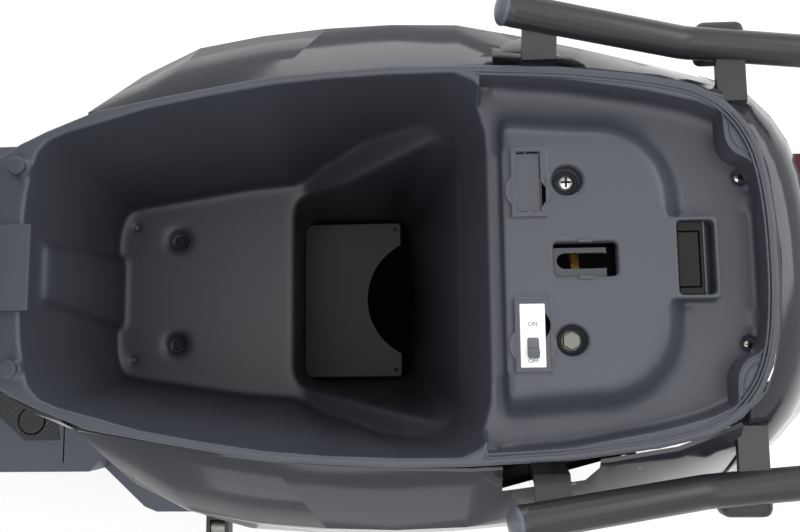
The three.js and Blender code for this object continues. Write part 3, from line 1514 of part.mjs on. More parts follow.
// Rear mudguard and footrests
function rearMudguard() {
  const centre = vec(guardCentreX, 0, guardCentreZ);
  const arch = mudguard(centre, guardRadius, guardHalfWidth, guardDrop, guardWall, guardStartDegrees,
    guardEndDegrees);
  const postReach = Math.abs(crossTubeX - guardCentreX) + guardPostHalf;
  const postLowZ = guardCentreZ + Math.sqrt(guardRadius ** 2 - postReach ** 2);
  const post = box([crossTubeX - guardPostHalf, -guardPostHalf, postLowZ],
    [crossTubeX + guardPostHalf, guardPostHalf, crossTubeZ - crossTubeRadius - gap]);
  const t = plateArmThickness;
  const topAngle = radians(plateTopDegrees);
  const topRadius = guardRadius + guardWall / 2;
  const plateTopX = guardCentreX + topRadius * Math.cos(topAngle);
  const plateTopZ = guardCentreZ + topRadius * Math.sin(topAngle);
  const plate = sideSlab([
    [plateTopX, plateTopZ], [plateTopX - t, plateTopZ + t], [plateEndX, plateKneeZ], [plateEndX, plateEndZ],
    [plateEndX + t, plateEndZ], [plateEndX + t, plateKneeZ],
  ], -plateArmHalf, plateArmHalf);
  return joined(arch, post, plate);
}

function footrest() {
  const eyeHalf = pegArmHalf * 2 / 3 - gap;
  const eye = bar(vec(pegX - eyeHalf, pegPivotY, pegPivotZ), vec(pegX + eyeHalf, pegPivotY, pegPivotZ),
    pegEyeRadius,
    roundSides / 2);
  const hole = bar(vec(pegX - pegArmHalf, pegPivotY, pegPivotZ),
    vec(pegX + pegArmHalf, pegPivotY, pegPivotZ),
    pegPinRadius + gap, boreSides);
  const inner = pegPivotY + Math.hypot(pegEyeRadius, pegArmHeight / 2) + pegForkGap;
  const outer = pegPivotY + pegReach;
  const corner = pegHalfLength / 3;
  const low = pegPivotZ - pegThickness / 2;
  const pad = slab([
    [pegX - pegHalfLength + corner, inner], [pegX + pegHalfLength - corner, inner],
    [pegX + pegHalfLength, inner + corner],
    [pegX + pegHalfLength, outer - corner], [pegX + pegHalfLength - corner, outer],
    [pegX - pegHalfLength + corner, outer], [pegX - pegHalfLength, outer - corner],
    [pegX - pegHalfLength, inner + corner],
  ], low, low + pegThickness);
  const neck = box([pegX - eyeHalf, pegPivotY, pegPivotZ - pegEyeRadius / 2],
    [pegX + eyeHalf, inner + corner, pegPivotZ + pegEyeRadius / 2]);
  return cut(joined(pad, neck, eye), hole);
}

addPiece('rear_mudguard', rearMudguard(), satinBlack);
addPair('footrest', footrest(), blackRubber);

// Under-seat tub
const rimShares = [
  [0, 0.4648], [0.014, 0.5634], [0.046, 0.6408], [0.08, 0.7042], [0.146, 0.8063], [0.236, 0.8732],
  [0.375, 0.9648], [0.527, 1], [0.616, 0.9965], [0.746, 0.9683], [0.848, 0.9155], [0.911, 0.8592],
  [0.948, 0.7746], [0.971, 0.6655], [0.9875, 0.5282], [0.996, 0.3521], [1, 0.1408],
];
const rimOutline = rimShares.map(([along, half]) => [rimFrontX - rimLength * along, rimHalf * half]);

// The basin narrows towards its floor: pairs of shares at the rim and at the floor.
const basinShares = [
  [0, 0.281, 0, 0.193], [0.003, 0.385, 0, 0.363], [0.012, 0.519, 0.006, 0.459],
  [0.023, 0.622, 0.015, 0.519],
  [0.047, 0.689, 0.032, 0.57], [0.088, 0.733, 0.073, 0.593], [0.164, 0.785, 0.149, 0.622],
  [0.257, 0.852, 0.225, 0.652], [0.383, 0.911, 0.363, 0.704], [0.52, 0.963, 0.482, 0.726],
  [0.629, 0.985, 0.588, 0.83], [0.781, 1, 0.69, 0.919], [0.909, 1, 0.757, 0.933],
  [0.947, 0.956, 0.792, 0.874],
  [0.982, 0.867, 0.813, 0.77], [0.997, 0.748, 0.822, 0.63], [1, 0.63, 0.825, 0.444],
];
const basinRun = basinFrontX - basinRearX;
const basinTop = basinShares.map(([a, h]) => [basinFrontX - basinRun * a, basinHalf * h]);
const basinFloor = basinShares.map(([, , a, h]) => [basinFrontX - basinRun * a, basinHalf * h]);
const atHeight = (outline, z) => outline.map(([x, y]) => [x, y, z]);

function tubLoft(levels, outward) {
  return loft(levels.map(([half, z]) => atHeight(bothSides(offsetLine(half, -outward)), z)));
}

function pitOutline(front, rear, frontHalf, rearHalf) {
  const near = pitCorner * (1 - Math.SQRT1_2);
  return [
    [front, frontHalf - pitCorner], [front - near, frontHalf - near], [front - pitCorner, frontHalf],
    [rear + pitCorner, rearHalf], [rear + near, rearHalf - near], [rear, rearHalf - pitCorner],
  ];
}

function platformOutline(grow) {
  const halfShares = [
    [0, 1], [0.38, 0.958], [0.68, 0.938], [0.83, 0.854], [0.94, 0.708], [0.99, 0.542], [1, 0.24],
  ];
  const run = basinRearX - skin / 3 - platformRearX;
  const line = halfShares.map(([a, h]) => [basinRearX - skin / 3 - run * a, platformHalf * h]);
  return offsetLine(line, -grow).map(([x, y], i) => [i === 0 ? line[0][0] : x, y]);
}

const deckShares = [
  [0.02, 1.006], [0.314, 0.97], [0.603, 0.894], [0.782, 0.826], [0.86, 0.773], [0.904, 0.75], [0.95, 0.644],
  [0.98, 0.508], [0.995, 0.379], [1, 0.159],
];
const deckRecess = deckShares.map(([a, h]) => [mix(deckFrontX, deckRearX, a), deckHalf * h]);
const frameRim = (x0, x1, y0, y1, margin, z0, z1) => (
  box([x0 - margin, y0 - margin, z0], [x1 + margin, y1 + margin, z1]));
const platformUnder = platformZ - skin;

function underseatTub() {
  const ledgeRunX = ledgeRearX - pitTopFrontX;
  const ledgeRise = (ledgeRearZ - frontFloorZ) / ledgeRunX;
  const farX = ledgeRearX - rimHalf;
  const ledgeWedge = (drop) => sideSlab([
    [pitTopFrontX, frontFloorZ - drop], [farX, frontFloorZ - drop + ledgeRise * (farX - pitTopFrontX)],
    [farX, pitFloorZ - rimHalf], [pitTopFrontX, pitFloorZ - rimHalf],
  ], -rimHalf * 2, rimHalf * 2);
  const pitLow = pitOutline(pitFrontX, pitRearX, pitHalf, pitHalf);
  const pitHigh = pitOutline(pitTopFrontX, ledgeRearX, platformHalf, pitTopHalf);
  const scoopRadius = floorPlateCutHalf * 3 / 4;
  const scoopX = pitRearX - scoopDepth + scoopRadius;
  const scoopHeightShare = 0.9;
  const scoopTop = mix(pitFloorZ, frontFloorZ, scoopHeightShare);
  const blockWall = basinFrontX - blockX;

  const flange = slab(bothSides(rimOutline), rimZ - rimFlangeDepth, rimZ);
  const deckBlock = slab(bothSides(offsetLine(rimOutline, skin / 2)), deckZ - skin, rimZ)
    .subtract(middleBox(deckFrontX, 0, rimHalf * 2, deckZ - rimHalf, rimZ + overrun));
  const basinOuter = tubLoft([[basinFloor, frontFloorZ - skin], [basinTop, rimZ - gap]], skin)
    .subtract(ledgeWedge(skin * 5 / 4));
  const pitOuter = tubLoft([[pitLow, pitFloorZ - skin], [pitHigh, ledgeRearZ]], skin)
    .subtract(sideSlab([
      [pitTopFrontX, frontFloorZ], [farX, frontFloorZ + ledgeRise * (farX - pitTopFrontX)],
      [farX, rimZ * 2], [0, rimZ * 2], [0, frontFloorZ],
    ], -rimHalf * 2, rimHalf * 2));
  const scoopOuter = uprightBar(scoopX, 0, pitFloorZ - skin, scoopTop + skin, scoopRadius + skin,
    roundSides);

  const basinIn = tubLoft([[basinFloor, frontFloorZ], [basinTop, rimZ + gap]], 0).subtract(ledgeWedge(0));
  const pitIn = tubLoft([[pitLow, pitFloorZ], [pitHigh, ledgeRearZ + gap]], 0);
  const scoopIn = uprightBar(scoopX, 0, pitFloorZ, scoopTop, scoopRadius, roundSides);
  const deckIn = slab(bothSides(deckRecess), deckZ, rimZ + overrun);
  const wallCut = middleBox(deckFrontX - pitCorner * 3 / 2, basinRearX + pitCorner / 2, platformHalf,
    platformZ, rimZ + overrun);

  let tub = cut(joined(flange, deckBlock, basinOuter, pitOuter, scoopOuter), deckIn, basinIn, pitIn,
    scoopIn, wallCut);

  // The raised platform and what is moulded on it
  const top = loft([
    atHeight(bothSides(platformOutline(platformSlope)), deckZ - gap),
    atHeight(bothSides(platformOutline(0)), platformZ),
  ]);
  const windowBox = frameRim(windowRearX, windowFrontX, -windowHalf, windowHalf, skin, deckZ - skin,
    platformZ);
  const bridge = middleBox(windowFrontX, platformRearX + pitCorner, windowHalf + skin, deckZ - skin,
    platformZ);
  const hollow = loft([
    atHeight(bothSides(platformOutline(platformSlope - skin)).map(([x, y]) => [x - skin, y]),
      deckZ - skin - gap),
    atHeight(bothSides(platformOutline(-skin)).map(([x, y]) => [x - skin, y]), platformUnder),
  ]).subtract(middleBox(platformRearX - rimHalf, platformRearX + skin, rimHalf, 0, rimZ));
  const wells = [-1, 1].map((s) =>
    uprightBar(boltWellX, s * boltWellY, platformZ - boltWellDepth - skin, platformZ,
      boltWellRadius + skin, roundSides / 2));
  const latchCollar = frameRim(latchHoleRearX, latchHoleFrontX, -latchHoleHalf, latchHoleHalf, skin - gap,
    platformZ - rimFlangeDepth + skin, platformZ);
  const breakerHalf = breakerLength / 2 + gap;
  const breakerFront = breakerX + breakerWidth / 2 + gap;
  const breakerRear = breakerX - breakerWidth / 2 - gap;
  const breakerRing = frameRim(breakerRear, breakerFront, breakerY - breakerHalf, breakerY + breakerHalf,
    breakerFrame, platformUnder - gap, platformZ + breakerFrameHeight);
  const blankRing = frameRim(breakerRear, breakerFront, blankY - breakerHalf, blankY + breakerHalf,
    breakerFrame, platformUnder - gap, platformZ + breakerFrameHeight);
  tub = joined(cut(tub.add(top), hollow), windowBox, bridge, latchCollar, breakerRing, blankRing, ...wells);

  const slit = breakerFrameHeight / 2;
  const blankFloor = frameRim(breakerRear, breakerFront, blankY - breakerHalf, blankY + breakerHalf, 0,
    platformZ, platformZ + overrun);
  const blankSlit = frameRim(breakerRear, breakerFront, blankY - breakerHalf, blankY + breakerHalf, -slit,
    platformZ - slit, platformZ + gap)
    .subtract(frameRim(breakerRear, breakerFront, blankY - breakerHalf, blankY + breakerHalf, -slit * 2,
      platformZ - slit * 2, platformZ + overrun));
  const openings = [
    frameRim(latchHoleRearX, latchHoleFrontX, -latchHoleHalf, latchHoleHalf, 0, 0, rimZ),
    frameRim(breakerRear, breakerFront, breakerY - breakerHalf, breakerY + breakerHalf, 0, 0, rimZ),
    frameRim(windowRearX, windowFrontX, -windowHalf, windowHalf, 0, platformZ - windowDepth, rimZ),
    blankFloor,
    blankSlit,
  ];
  for (const s of [-1, 1]) {
    openings.push(
      uprightBar(boltWellX, s * boltWellY, platformZ - boltWellDepth, rimZ, boltWellRadius, roundSides / 2),
      uprightBar(drainX, s * drainY, pitFloorZ, frontFloorZ + overrun, drainRadius, smallSides),
    );
  }
  tub = cut(tub, ...openings);

  // Floor wells, deck screws, the front-wall block, buffer posts and pads under the floor plate
  const padInShare = 0.2;
  const padOutShare = 0.86;
  for (const s of [-1, 1]) {
    tub = joined(
      tub,
      uprightBar(floorWellX, s * floorWellY, frontFloorZ - floorWellDepth - skin, frontFloorZ - gap,
        floorWellRadius + skin, roundSides / 2),
      uprightBar(deckScrewX, s * deckScrewY, deckZ - deckScrewDepth - skin, deckZ - gap,
        deckScrewRadius + skin, pipeSides),
      uprightBar(bufferX, s * bufferY, rimZ - bufferHeight, rimZ + skin, bufferRadius, pipeSides),
      ...[floorPlateFrontX, floorPlateRearX].map((x) => uprightBar(
        mix(x, (pitFrontX + pitRearX) / 2, padInShare), s * floorPlateHalf * padOutShare, pitFloorZ - gap,
        floorPlateZ - gap, deckScrewRadius, smallSides)),
    );
    tub = cut(
      tub,
      uprightBar(floorWellX, s * floorWellY, frontFloorZ - floorWellDepth, frontFloorZ + overrun,
        floorWellRadius, roundSides / 2),
      uprightBar(deckScrewX, s * deckScrewY, deckZ - deckScrewDepth, deckZ + overrun, deckScrewRadius,
        pipeSides),
    );
  }
  const block = crossSlab([
    [-blockFootHalf, frontFloorZ - gap], [blockFootHalf, frontFloorZ - gap], [blockTopHalf, blockTopZ],
    [-blockTopHalf, blockTopZ],
  ], basinFrontX - blockWall, basinFrontX + skin / 2);
  return tub.add(block);
}

function tubFloorPlate() {
  const corner = pitCorner;
  const [front, rear] = [floorPlateFrontX, floorPlateRearX];
  const plate = slab(bothSides([
    [front, floorPlateHalf - corner], [front - corner, floorPlateHalf], [rear + corner, floorPlateHalf],
    [rear, floorPlateHalf - corner],
  ]), floorPlateZ, floorPlateZ + floorPlateThickness);
  const steps = 12;
  const bite = [];
  for (let i = 0; i <= steps; i++) {
    const a = Math.PI * i / steps;
    bite.push([rear + floorPlateCutDepth * Math.sin(a), floorPlateCutHalf * Math.cos(a)]);
  }
  bite.push([rear - corner, -floorPlateCutHalf], [rear - corner, floorPlateCutHalf]);
  return plate.subtract(slab(bite, floorPlateZ - overrun, floorPlateZ + overrun));
}

function breakerBody() {
  const low = breakerTopZ - breakerDepth;
  const half = breakerLength / 2;
  const shoulder = breakerFrame;
  const faceShares = [-0.6, 0.72];
  const body = box([breakerX - breakerWidth / 2, breakerY - half, low],
    [breakerX + breakerWidth / 2, breakerY + half,
    breakerTopZ - shoulder]);
  const face = box([breakerX - breakerWidth / 2, breakerY + half * faceShares[0], low],
    [breakerX + breakerWidth / 2, breakerY + half * faceShares[1], breakerTopZ]);
  const pit = crossBar(0, 0, breakerWidth, 0, toggleRadius + gap, roundSides);
  const turned90 = moved(pit, new THREE.Matrix4().makeRotationZ(-Math.PI / 2));
  const room = moved(turned90, new THREE.Matrix4().makeTranslation(vec(breakerX - toggleWidth / 2 - gap,
    toggleY,
    breakerTopZ - toggleRadius / 2)));
  const roomCut = room.intersect(box(
    [breakerX - toggleWidth / 2 - gap, breakerY - half, low],
    [breakerX + toggleWidth / 2 + gap, breakerY + half, rimZ]));
  return cut(joined(body, face), roomCut);
}

function breakerToggle() {
  const axisZ = breakerTopZ - toggleRadius / 2;
  const half = toggleWidth / 2;
  const drum = bar(vec(breakerX - half, toggleY, axisZ), vec(breakerX + half, toggleY, axisZ),
    toggleRadius, rimSides);
  const lean = radians(toggleLean);
  const lever = box([-half, -toggleThickness / 2, 0], [half, toggleThickness / 2, toggleReach]);
  return joined(drum, moved(lever, new THREE.Matrix4().makeRotationX(-lean)
    .setPosition(breakerX, toggleY, axisZ)));
}

// Seat latch and hinge bracket
function latchHousing() {
  const front = latchHoleFrontX + latchPlateMargin;
  const rear = crossTubeX + crossTubeRadius + gap * 2;
  const plateTop = platformZ - rimFlangeDepth + skin - gap;
  const low = plateTop - latchPlateThickness;
  const plate = middleBox(rear, front, latchPlateHalf, low, plateTop);
  const web = middleBox(rear, rear + latchPlateThickness, latchPlateHalf, crossTubeZ, plateTop);
  const middle = strikerX;
  const slotLength = (latchHoleFrontX - latchHoleRearX) / 2 - latchSlotHalf * 3 / 2;
  const slot = joined(
    middleBox(middle - slotLength, middle + slotLength, latchSlotHalf, low - overrun, plateTop + overrun),
    uprightBar(middle - slotLength, 0, low - overrun, plateTop + overrun, latchSlotHalf, pipeSides),
    uprightBar(middle + slotLength, 0, low - overrun, plateTop + overrun, latchSlotHalf, pipeSides),
  );
  const inner = hookThickness / 2 + gap * 2;
  const outer = inner + latchCheekThickness;
  const [y0, y1] = [latchPinY - latchCheekWidth / 2, latchPinY + latchPinRadius * 2];
  const cheekLow = latchPinZ - latchCheekWidth;
  const cheeks = joined(
    box([middle - outer, y0, cheekLow], [middle - inner, y1, low + gap]),
    box([middle + inner, y0, cheekLow], [middle + outer, y1, low + gap]),
  );
  const pin = bar(vec(middle - outer + gap, latchPinY, latchPinZ),
    vec(middle + outer - gap, latchPinY, latchPinZ),
    latchPinRadius, pipeSides);
  return joined(plate.subtract(slot), web, cheeks, pin);
}

function latchHook() {
  const [x0, x1] = [strikerX - hookThickness / 2, strikerX + hookThickness / 2];
  const half = hookHeight / 2;
  const arm = crossSlab([
    [0, half], [0, -half], [-hookReach + hookHeight, -half],
    [-hookReach + hookHeight, -half - hookNose / 2],
    [-hookReach, -half - hookNose], [-hookReach, 0], [-hookReach + half, half],
  ], x0, x1);
  const eye = bar(vec(x0, 0, 0), vec(x1, 0, 0), hookEyeRadius, roundSides / 2);
  const hole = bar(vec(x0 - overrun, 0, 0), vec(x1 + overrun, 0, 0), latchPinRadius + gap, boreSides);
  return moved(cut(joined(arm, eye), hole), new THREE.Matrix4().makeRotationX(radians(hookReleasedDegrees))
    .setPosition(0, latchPinY, latchPinZ));
}

function seatHingeBracket() {
  const low = rimZ + gap;
  const plate = middleBox(hingeBracketRearX, hingeX, hingeBracketHalf, low, low + hingeBracketThickness);
  const [front, rear] = [hingeX + hingeKnuckleRadius, hingeX - hingeKnuckleRadius - overrun];
  const inner = hingeLugOuter + hingeLugGap;
  const knuckle = (s) => joined(
    crossBar(hingeX, s * inner, s * hingeBracketHalf, hingeZ, hingeKnuckleRadius, roundSides / 2),
    sideSlab([[rear, low], [front, low], [front, hingeZ], [hingeX - hingeKnuckleRadius, hingeZ]],
      Math.min(s * inner, s * hingeBracketHalf), Math.max(s * inner, s * hingeBracketHalf)),
  );
  const pin = crossBar(hingeX, -hingeBracketHalf + gap, hingeBracketHalf - gap, hingeZ, hingePinRadius);
  return joined(plate, knuckle(1), knuckle(-1), pin);
}

addPiece('underseat_tub', underseatTub(), mouldedGrey);
addPiece('tub_floor_plate', tubFloorPlate(), mouldedGrey);
addPiece('breaker_body', breakerBody(), breakerWhite);
addPiece('breaker_toggle', breakerToggle(), satinBlack);
addPiece('latch_housing', latchHousing(), zincSteel);
addPiece('latch_hook', latchHook(), yellowZinc);
addPiece('seat_hinge_bracket', seatHingeBracket(), satinBlack);

// Seat, drawn closed and then swung open about its hinge
const seat = new THREE.Group();
seat.applyMatrix4(new THREE.Matrix4().makeTranslation(hingeX, 0, hingeZ)
  .multiply(new THREE.Matrix4().makeRotationY(radians(seatOpenDegrees)))
  .multiply(new THREE.Matrix4().makeTranslation(-hingeX, 0, -hingeZ)));
scooter.add(seat);

const seatShares = [
  [0, 0.24], [0.006, 0.44], [0.022, 0.56], [0.05, 0.63], [0.1, 0.69], [0.2, 0.77], [0.32, 0.87],
  [0.44, 0.95],
  [0.55, 0.985], [0.64, 0.98], [0.7, 0.95], [0.78, 0.885], [0.85, 0.83], [0.9, 0.805], [0.94, 0.765],
  [0.975, 0.64], [0.992, 0.46], [1, 0.24],
];
const seatOutline = seatShares.map(([a, h]) => [mix(seatNoseX, seatRearX, a), seatHalf * h]);
const hingeRoomHalf = hingeBracketHalf + skin - hingeLugGap;
const hingeRoomTop = hingeZ + hingeKnuckleRadius + overrun - gap;
const hingeRoomRear = hingeX - hingeKnuckleRadius - overrun - gap * 2;
const hingeRoom = () => middleBox(hingeRoomRear, seatNoseX + overrun, hingeRoomHalf,
  seatPanBottomZ - overrun, hingeRoomTop);

function seatPan() {
  const outline = (inset) => bothSides(offsetLine(seatOutline, inset));
  const outer = slab(outline(seatPanSkirt), seatPanBottomZ, seatPanZ + seatPanThickness);
  const inner = slab(outline(seatPanSkirt + skin), seatPanBottomZ - overrun, seatPanZ);
  const noseClear = middleBox(seatNoseClearX, seatNoseX + overrun, seatHalf, seatPanBottomZ - overrun,
    seatNoseClearZ);
  const lug = (s) => cut(
    joined(
      crossBar(hingeX, s * hingeLugInner, s * hingeLugOuter, hingeZ, hingeKnuckleRadius, roundSides / 2),
      sideSlab([
        [hingeX, hingeZ + hingeKnuckleRadius], [hingeX, hingeZ - hingeKnuckleRadius],
        [hingeRoomRear - skin, seatPanZ], [hingeRoomRear - skin, seatPanZ + seatPanThickness],
        [hingeRoomRear + gap, seatPanZ + seatPanThickness],
      ], Math.min(s * hingeLugInner, s * hingeLugOuter), Math.max(s * hingeLugInner, s * hingeLugOuter)),
    ),
    crossBar(hingeX, -hingeBracketHalf, hingeBracketHalf, hingeZ, hingePinRadius + gap, boreSides),
  );
  return joined(cut(outer, inner, noseClear, hingeRoom()), lug(1), lug(-1));
}

// The padding swells between its seams and rises in a step for the pillion.
function seatCushion() {
  const low = seatPanZ + seatPanThickness + cushionFit;
  const heightShares = [
    [0, 0.5], [0.006, 0.68], [0.022, 0.84], [0.05, 0.93], [0.1, 0.98], [0.2, 1], [0.32, 1], [0.42, 1],
    [0.47, 1.06], [0.5, 1.16], [0.53, 1.28], [0.57, 1.36], [0.62, 1.39], [0.7, 1.394], [0.8, 1.38],
    [0.88, 1.35], [0.94, 1.28], [0.975, 1.16], [0.992, 1], [1, 0.78],
  ];
  const pillionShare = 1.394;
  const stepRunShare = 0.2;
  const stepHeight = pillionHeight / riderHeight / pillionShare;
  const halfAt = (a) => {
    const i = Math.min(seatShares.findIndex(([s]) => s >= a) || 1, seatShares.length - 1);
    const [before, after] = [seatShares[i - 1], seatShares[i]];
    return seatHalf * mix(before[1], after[1], (a - before[0]) / (after[0] - before[0]));
  };
  const sectionShares = [
    [0.955, 0], [0.992, 0.1], [1, 0.26], [0.99, 0.44], [0.968, 0.62], [0.945, 0.76], [0.925, 0.83],
    [0.85, 0.93], [0.7, 0.985], [0.45, 1],
  ];
  const crownShares = [0, 0, 0, 0, 0, 0, 0.05, 0.3, 0.62, 0.88];
  const rings = heightShares.map(([a, h]) => {
    const x = mix(seatNoseX, seatRearX, a);
    const half = halfAt(a) - skin;
    const height = riderHeight * (h > 1 ? mix(1, h * stepHeight,
      Math.min((h - 1) / stepRunShare, 1)) : h) - cushionCrown / 2;
    const crown = cushionCrown * Math.min(h, 1) / 2;
    const side = sectionShares.map(([w, k], i) => [half * w, low + height * k + crown * crownShares[i]]);
    const ridge = [0, low + height + crown];
    return [...side, ridge, ...side.slice().reverse().map(([y, z]) => [-y, z])].map(([y, z]) => [x, y, z]);
  });
  return loft(rings).subtract(hingeRoom());
}

function seatStriker() {
  const base = seatPanZ - gap;
  const foot = middleBox(strikerX - strikerHalf * 2, strikerX + strikerHalf * 2, strikerHalf, base - skin,
    base);
  const loop = pipe([
    vec(strikerX - strikerHalf, 0, base - skin / 2), vec(strikerX - strikerHalf, 0, strikerZ),
    vec(strikerX + strikerHalf, 0, strikerZ), vec(strikerX + strikerHalf, 0, base - skin / 2),
  ], strikerRadius, strikerRadius + gap * 3);
  return foot.add(loop);
}

addPiece('seat_pan', seatPan(), satinBlack, seat);
addPiece('seat_cushion', seatCushion(), seatVinyl, seat);
addPiece('seat_striker', seatStriker(), zincSteel, seat);

// Body panels: closed skins between level curves
function lengthwise(line, count) {
  const lengths = line.slice(1).map((p, i) => Math.hypot(p[0] - line[i][0], p[1] - line[i][1]));
  const total = lengths.reduce((a, b) => a + b, 0);
  const points = [];
  for (let k = 0; k < count; k++) {
    let left = total * k / (count - 1);
    let i = 0;
    while (i < lengths.length - 1 && left > lengths[i]) left -= lengths[i++];
    const t = Math.min(left / lengths[i], 1);
    points.push([mix(line[i][0], line[i + 1][0], t), mix(line[i][1], line[i + 1][1], t)]);
  }
  return points;
}

function panelSkin(levels, count) {
  return loft(levels.map(([z, line]) => {
    const outer = lengthwise(line, count);
    return atHeight([...outer, ...offsetLine(outer, skin).reverse()], z);
  }));
}

// Level curves are tables of shares: the height, then how far along and how far out.
function levelCurves(shares, [x0, x1], half, [z0, z1]) {
  return shares.map(([h, line]) => [mix(z0, z1, h), line.map(([a, w]) => [mix(x0, x1, a), half * w])]);
}

const panelShares = [
  [1, [
    [0.2994, 0.5652], [0.3922, 0.6183], [0.509, 0.6811], [0.6362, 0.7053], [0.7186, 0.7053],
    [0.8204, 0.69], [0.9057, 0.655], [0.9581, 0.618], [0.994, 0.562],
  ]],
  [0.9119, [
    [0.2904, 0.585], [0.3263, 0.7], [0.355, 0.765], [0.3922, 0.835], [0.479, 0.884], [0.5988, 0.918],
    [0.7186, 0.903], [0.8413, 0.807], [0.9386, 0.715], [0.9985, 0.657],
  ]],
  [0.8006, [
    [0.2695, 0.595], [0.3024, 0.7], [0.332, 0.775], [0.374, 0.855], [0.4476, 0.908], [0.5389, 0.94],
    [0.6437, 0.945], [0.7485, 0.925], [0.8683, 0.86], [1, 0.734],
  ]],
  [0.7017, [
    [0.262, 0.6], [0.2784, 0.7], [0.3129, 0.785], [0.356, 0.865], [0.4476, 0.955],
    [0.5389, 0.975], [0.6317, 0.98], [0.7216, 0.965], [0.8413, 0.925], [0.9386, 0.855], [1, 0.797],
  ]],
  [0.5781, [
    [0.25, 0.5767], [0.2605, 0.6977], [0.2994, 0.807], [0.3503, 0.905], [0.4371, 0.985], [0.5689, 1],
    [0.7186, 0.986], [0.8413, 0.9256], [0.9386, 0.8419], [0.9955, 0.7814],
  ]],
  [0.4699, [
    [0.2395, 0.5721], [0.2515, 0.707], [0.2889, 0.835], [0.3413, 0.94], [0.4371, 1], [0.5689, 1],
    [0.7186, 0.9674], [0.8383, 0.9023],
  ]],
  [0.2998, [
    [0.2275, 0.5674], [0.2395, 0.7256], [0.2725, 0.8651], [0.3323, 0.9674], [0.4341, 1],
    [0.5689, 0.9907], [0.7036, 0.9442],
  ]],
  [0, [
    [0.2051, 0.5581], [0.2186, 0.7442], [0.2485, 0.8791], [0.3174, 0.9721], [0.4341, 0.9767],
    [0.524, 0.9628], [0.5988, 0.9395],
  ]],
];

const tailShares = [
  [1, [[0, 0.6522], [0.1279, 0.5963], [0.2326, 0.472], [0.2907, 0.2795], [0.314, 0.1242], [0.314, 0]]],
  [0.9032, [
    [0, 0.7516], [0.2093, 0.6957], [0.3953, 0.559], [0.5116, 0.3416], [0.5465, 0.1491], [0.5465, 0],
  ]],
  [0.7419, [
    [0, 0.8634], [0.2907, 0.7826], [0.5233, 0.6211], [0.6628, 0.3789], [0.7093, 0.1677], [0.7209, 0],
  ]],
  [0.3387, [[0, 1], [0.3837, 0.882], [0.7326, 0.6894], [0.907, 0.4099], [0.9884, 0.1863], [1, 0]]],
  [0, [[0, 0.9752], [0.3488, 0.8571], [0.6628, 0.6584], [0.8256, 0.3851], [0.8953, 0.1677], [0.907, 0]]],
];

const frontShares = [
  [1, [
    [0.4915, 0], [0.4915, 0.3], [0.5169, 0.5833], [0.6271, 0.7667], [0.8305, 0.8667], [0.9831, 0.9083],
  ]],
  [0.7376, [[0.3644, 0], [0.3644, 0.3], [0.3898, 0.5917], [0.5, 0.8], [0.678, 0.9333], [0.8305, 1]]],
  [0.5219, [[0.2542, 0], [0.2542, 0.3], [0.2797, 0.6], [0.3983, 0.8167], [0.5763, 0.9417], [0.7373, 1]]],
  [0.1984, [
    [0.1017, 0], [0.1017, 0.3], [0.1356, 0.6], [0.2542, 0.8083], [0.4407, 0.9417], [0.6186, 0.9917],
  ]],
  [0, [[0, 0], [0, 0.3], [0.0508, 0.6], [0.1695, 0.8083], [0.3559, 0.9333], [0.5254, 0.975]]],
];

const panelLevels = levelCurves(panelShares, [0, panelRearX], panelHalf, [panelBottomZ, panelTopZ]);
const tailLevels = levelCurves(tailShares, [tailFrontX, tailRearX], tailHalf, [tailBottomZ, tailTopZ]);
const frontLevels = levelCurves(frontShares, [frontCoverFrontX, frontCoverRearX], frontCoverHalf,
  [floorZ + panelTopGap + gap, frontCoverTopZ]);

function wrapped(levels, fromMiddle) {
  return levels.map(([z, line]) => {
    const half = fromMiddle ? line : line.slice().reverse();
    const across = half.slice(1).reverse().map(([x, y]) => [x, -y]);
    const whole = [...across, ...half];
    return [z, fromMiddle ? whole : whole.map(([x, y]) => [x, -y])];
  });
}

function bracket(outline, rear, front, grow) {
  return crossSlab(outline.map(([y, z]) => [y, z]), rear - grow, front + grow);
}

// How far out and how high a grab rail's centre line is at a distance along the scooter.
function grabAt(x) {
  if (x > grabBendX) {
    const share = (grabFrontX - x) / (grabFrontX - grabBendX);
    return [mix(grabFrontY, grabBendY, share), mix(grabFrontZ, grabBendZ, share)];
  }
  const share = (grabBendX - x) / (grabBendX - grabRearX);
  return [mix(grabBendY, grabRearY, share), mix(grabBendZ, grabRearZ, share)];
}

const alongRail = (x) => (railUpperX - x) / (railUpperX - railTailX);
const bracketMiddleX = (grabBracketFrontX + grabBracketRearX) / 2;
const railFrontY = mix(railUpperHalf, railTailHalf, alongRail(bracketMiddleX));
const railFrontTop = mix(railUpperZ, railTailZ, alongRail(grabBracketRearX)) + railRadius + gap * 2;
const frontBracketOutline = (grow) => {
  const [y, z] = grabAt(bracketMiddleX);
  const [reach, t] = [grabRadius / 2 + grow, grabBracketThickness];
  const [top, kneeY, kneeZ] = [z - grabRadius / 2, mix(railFrontY, y, 1 / 4), panelTopZ];
  return [
    [y - reach, top], [y + reach, top], [kneeY + t / 2 + grow, kneeZ - t / 2 - grow],
    [railFrontY + t + grow, railFrontTop - grow], [railFrontY - t / 3 - grow, railFrontTop - grow],
    [kneeY - t / 2 - grow, kneeZ + grow],
  ];
};
const rearBracketOutline = (grow) => {
  const [y, z] = grabAt((grabRearBracketFrontX + grabRearBracketRearX) / 2);
  const footZ = railTailZ + railRadius + gap * 2;
  const footY = railTailHalf - grabRadius / 2;
  const kneeY = footY + grabRadius;
  const t = grabBracketThickness / 2 + grow;
  return [
    [y, z + t], [y, z - t], [kneeY + t, z - t], [footY + t, footZ - grow],
    [footY - t, footZ - grow], [kneeY - t, z], [kneeY - t / 2, z + t],
  ];
};
const frontBracket = (grow) => bracket(frontBracketOutline(grow), grabBracketRearX, grabBracketFrontX,
  grow);
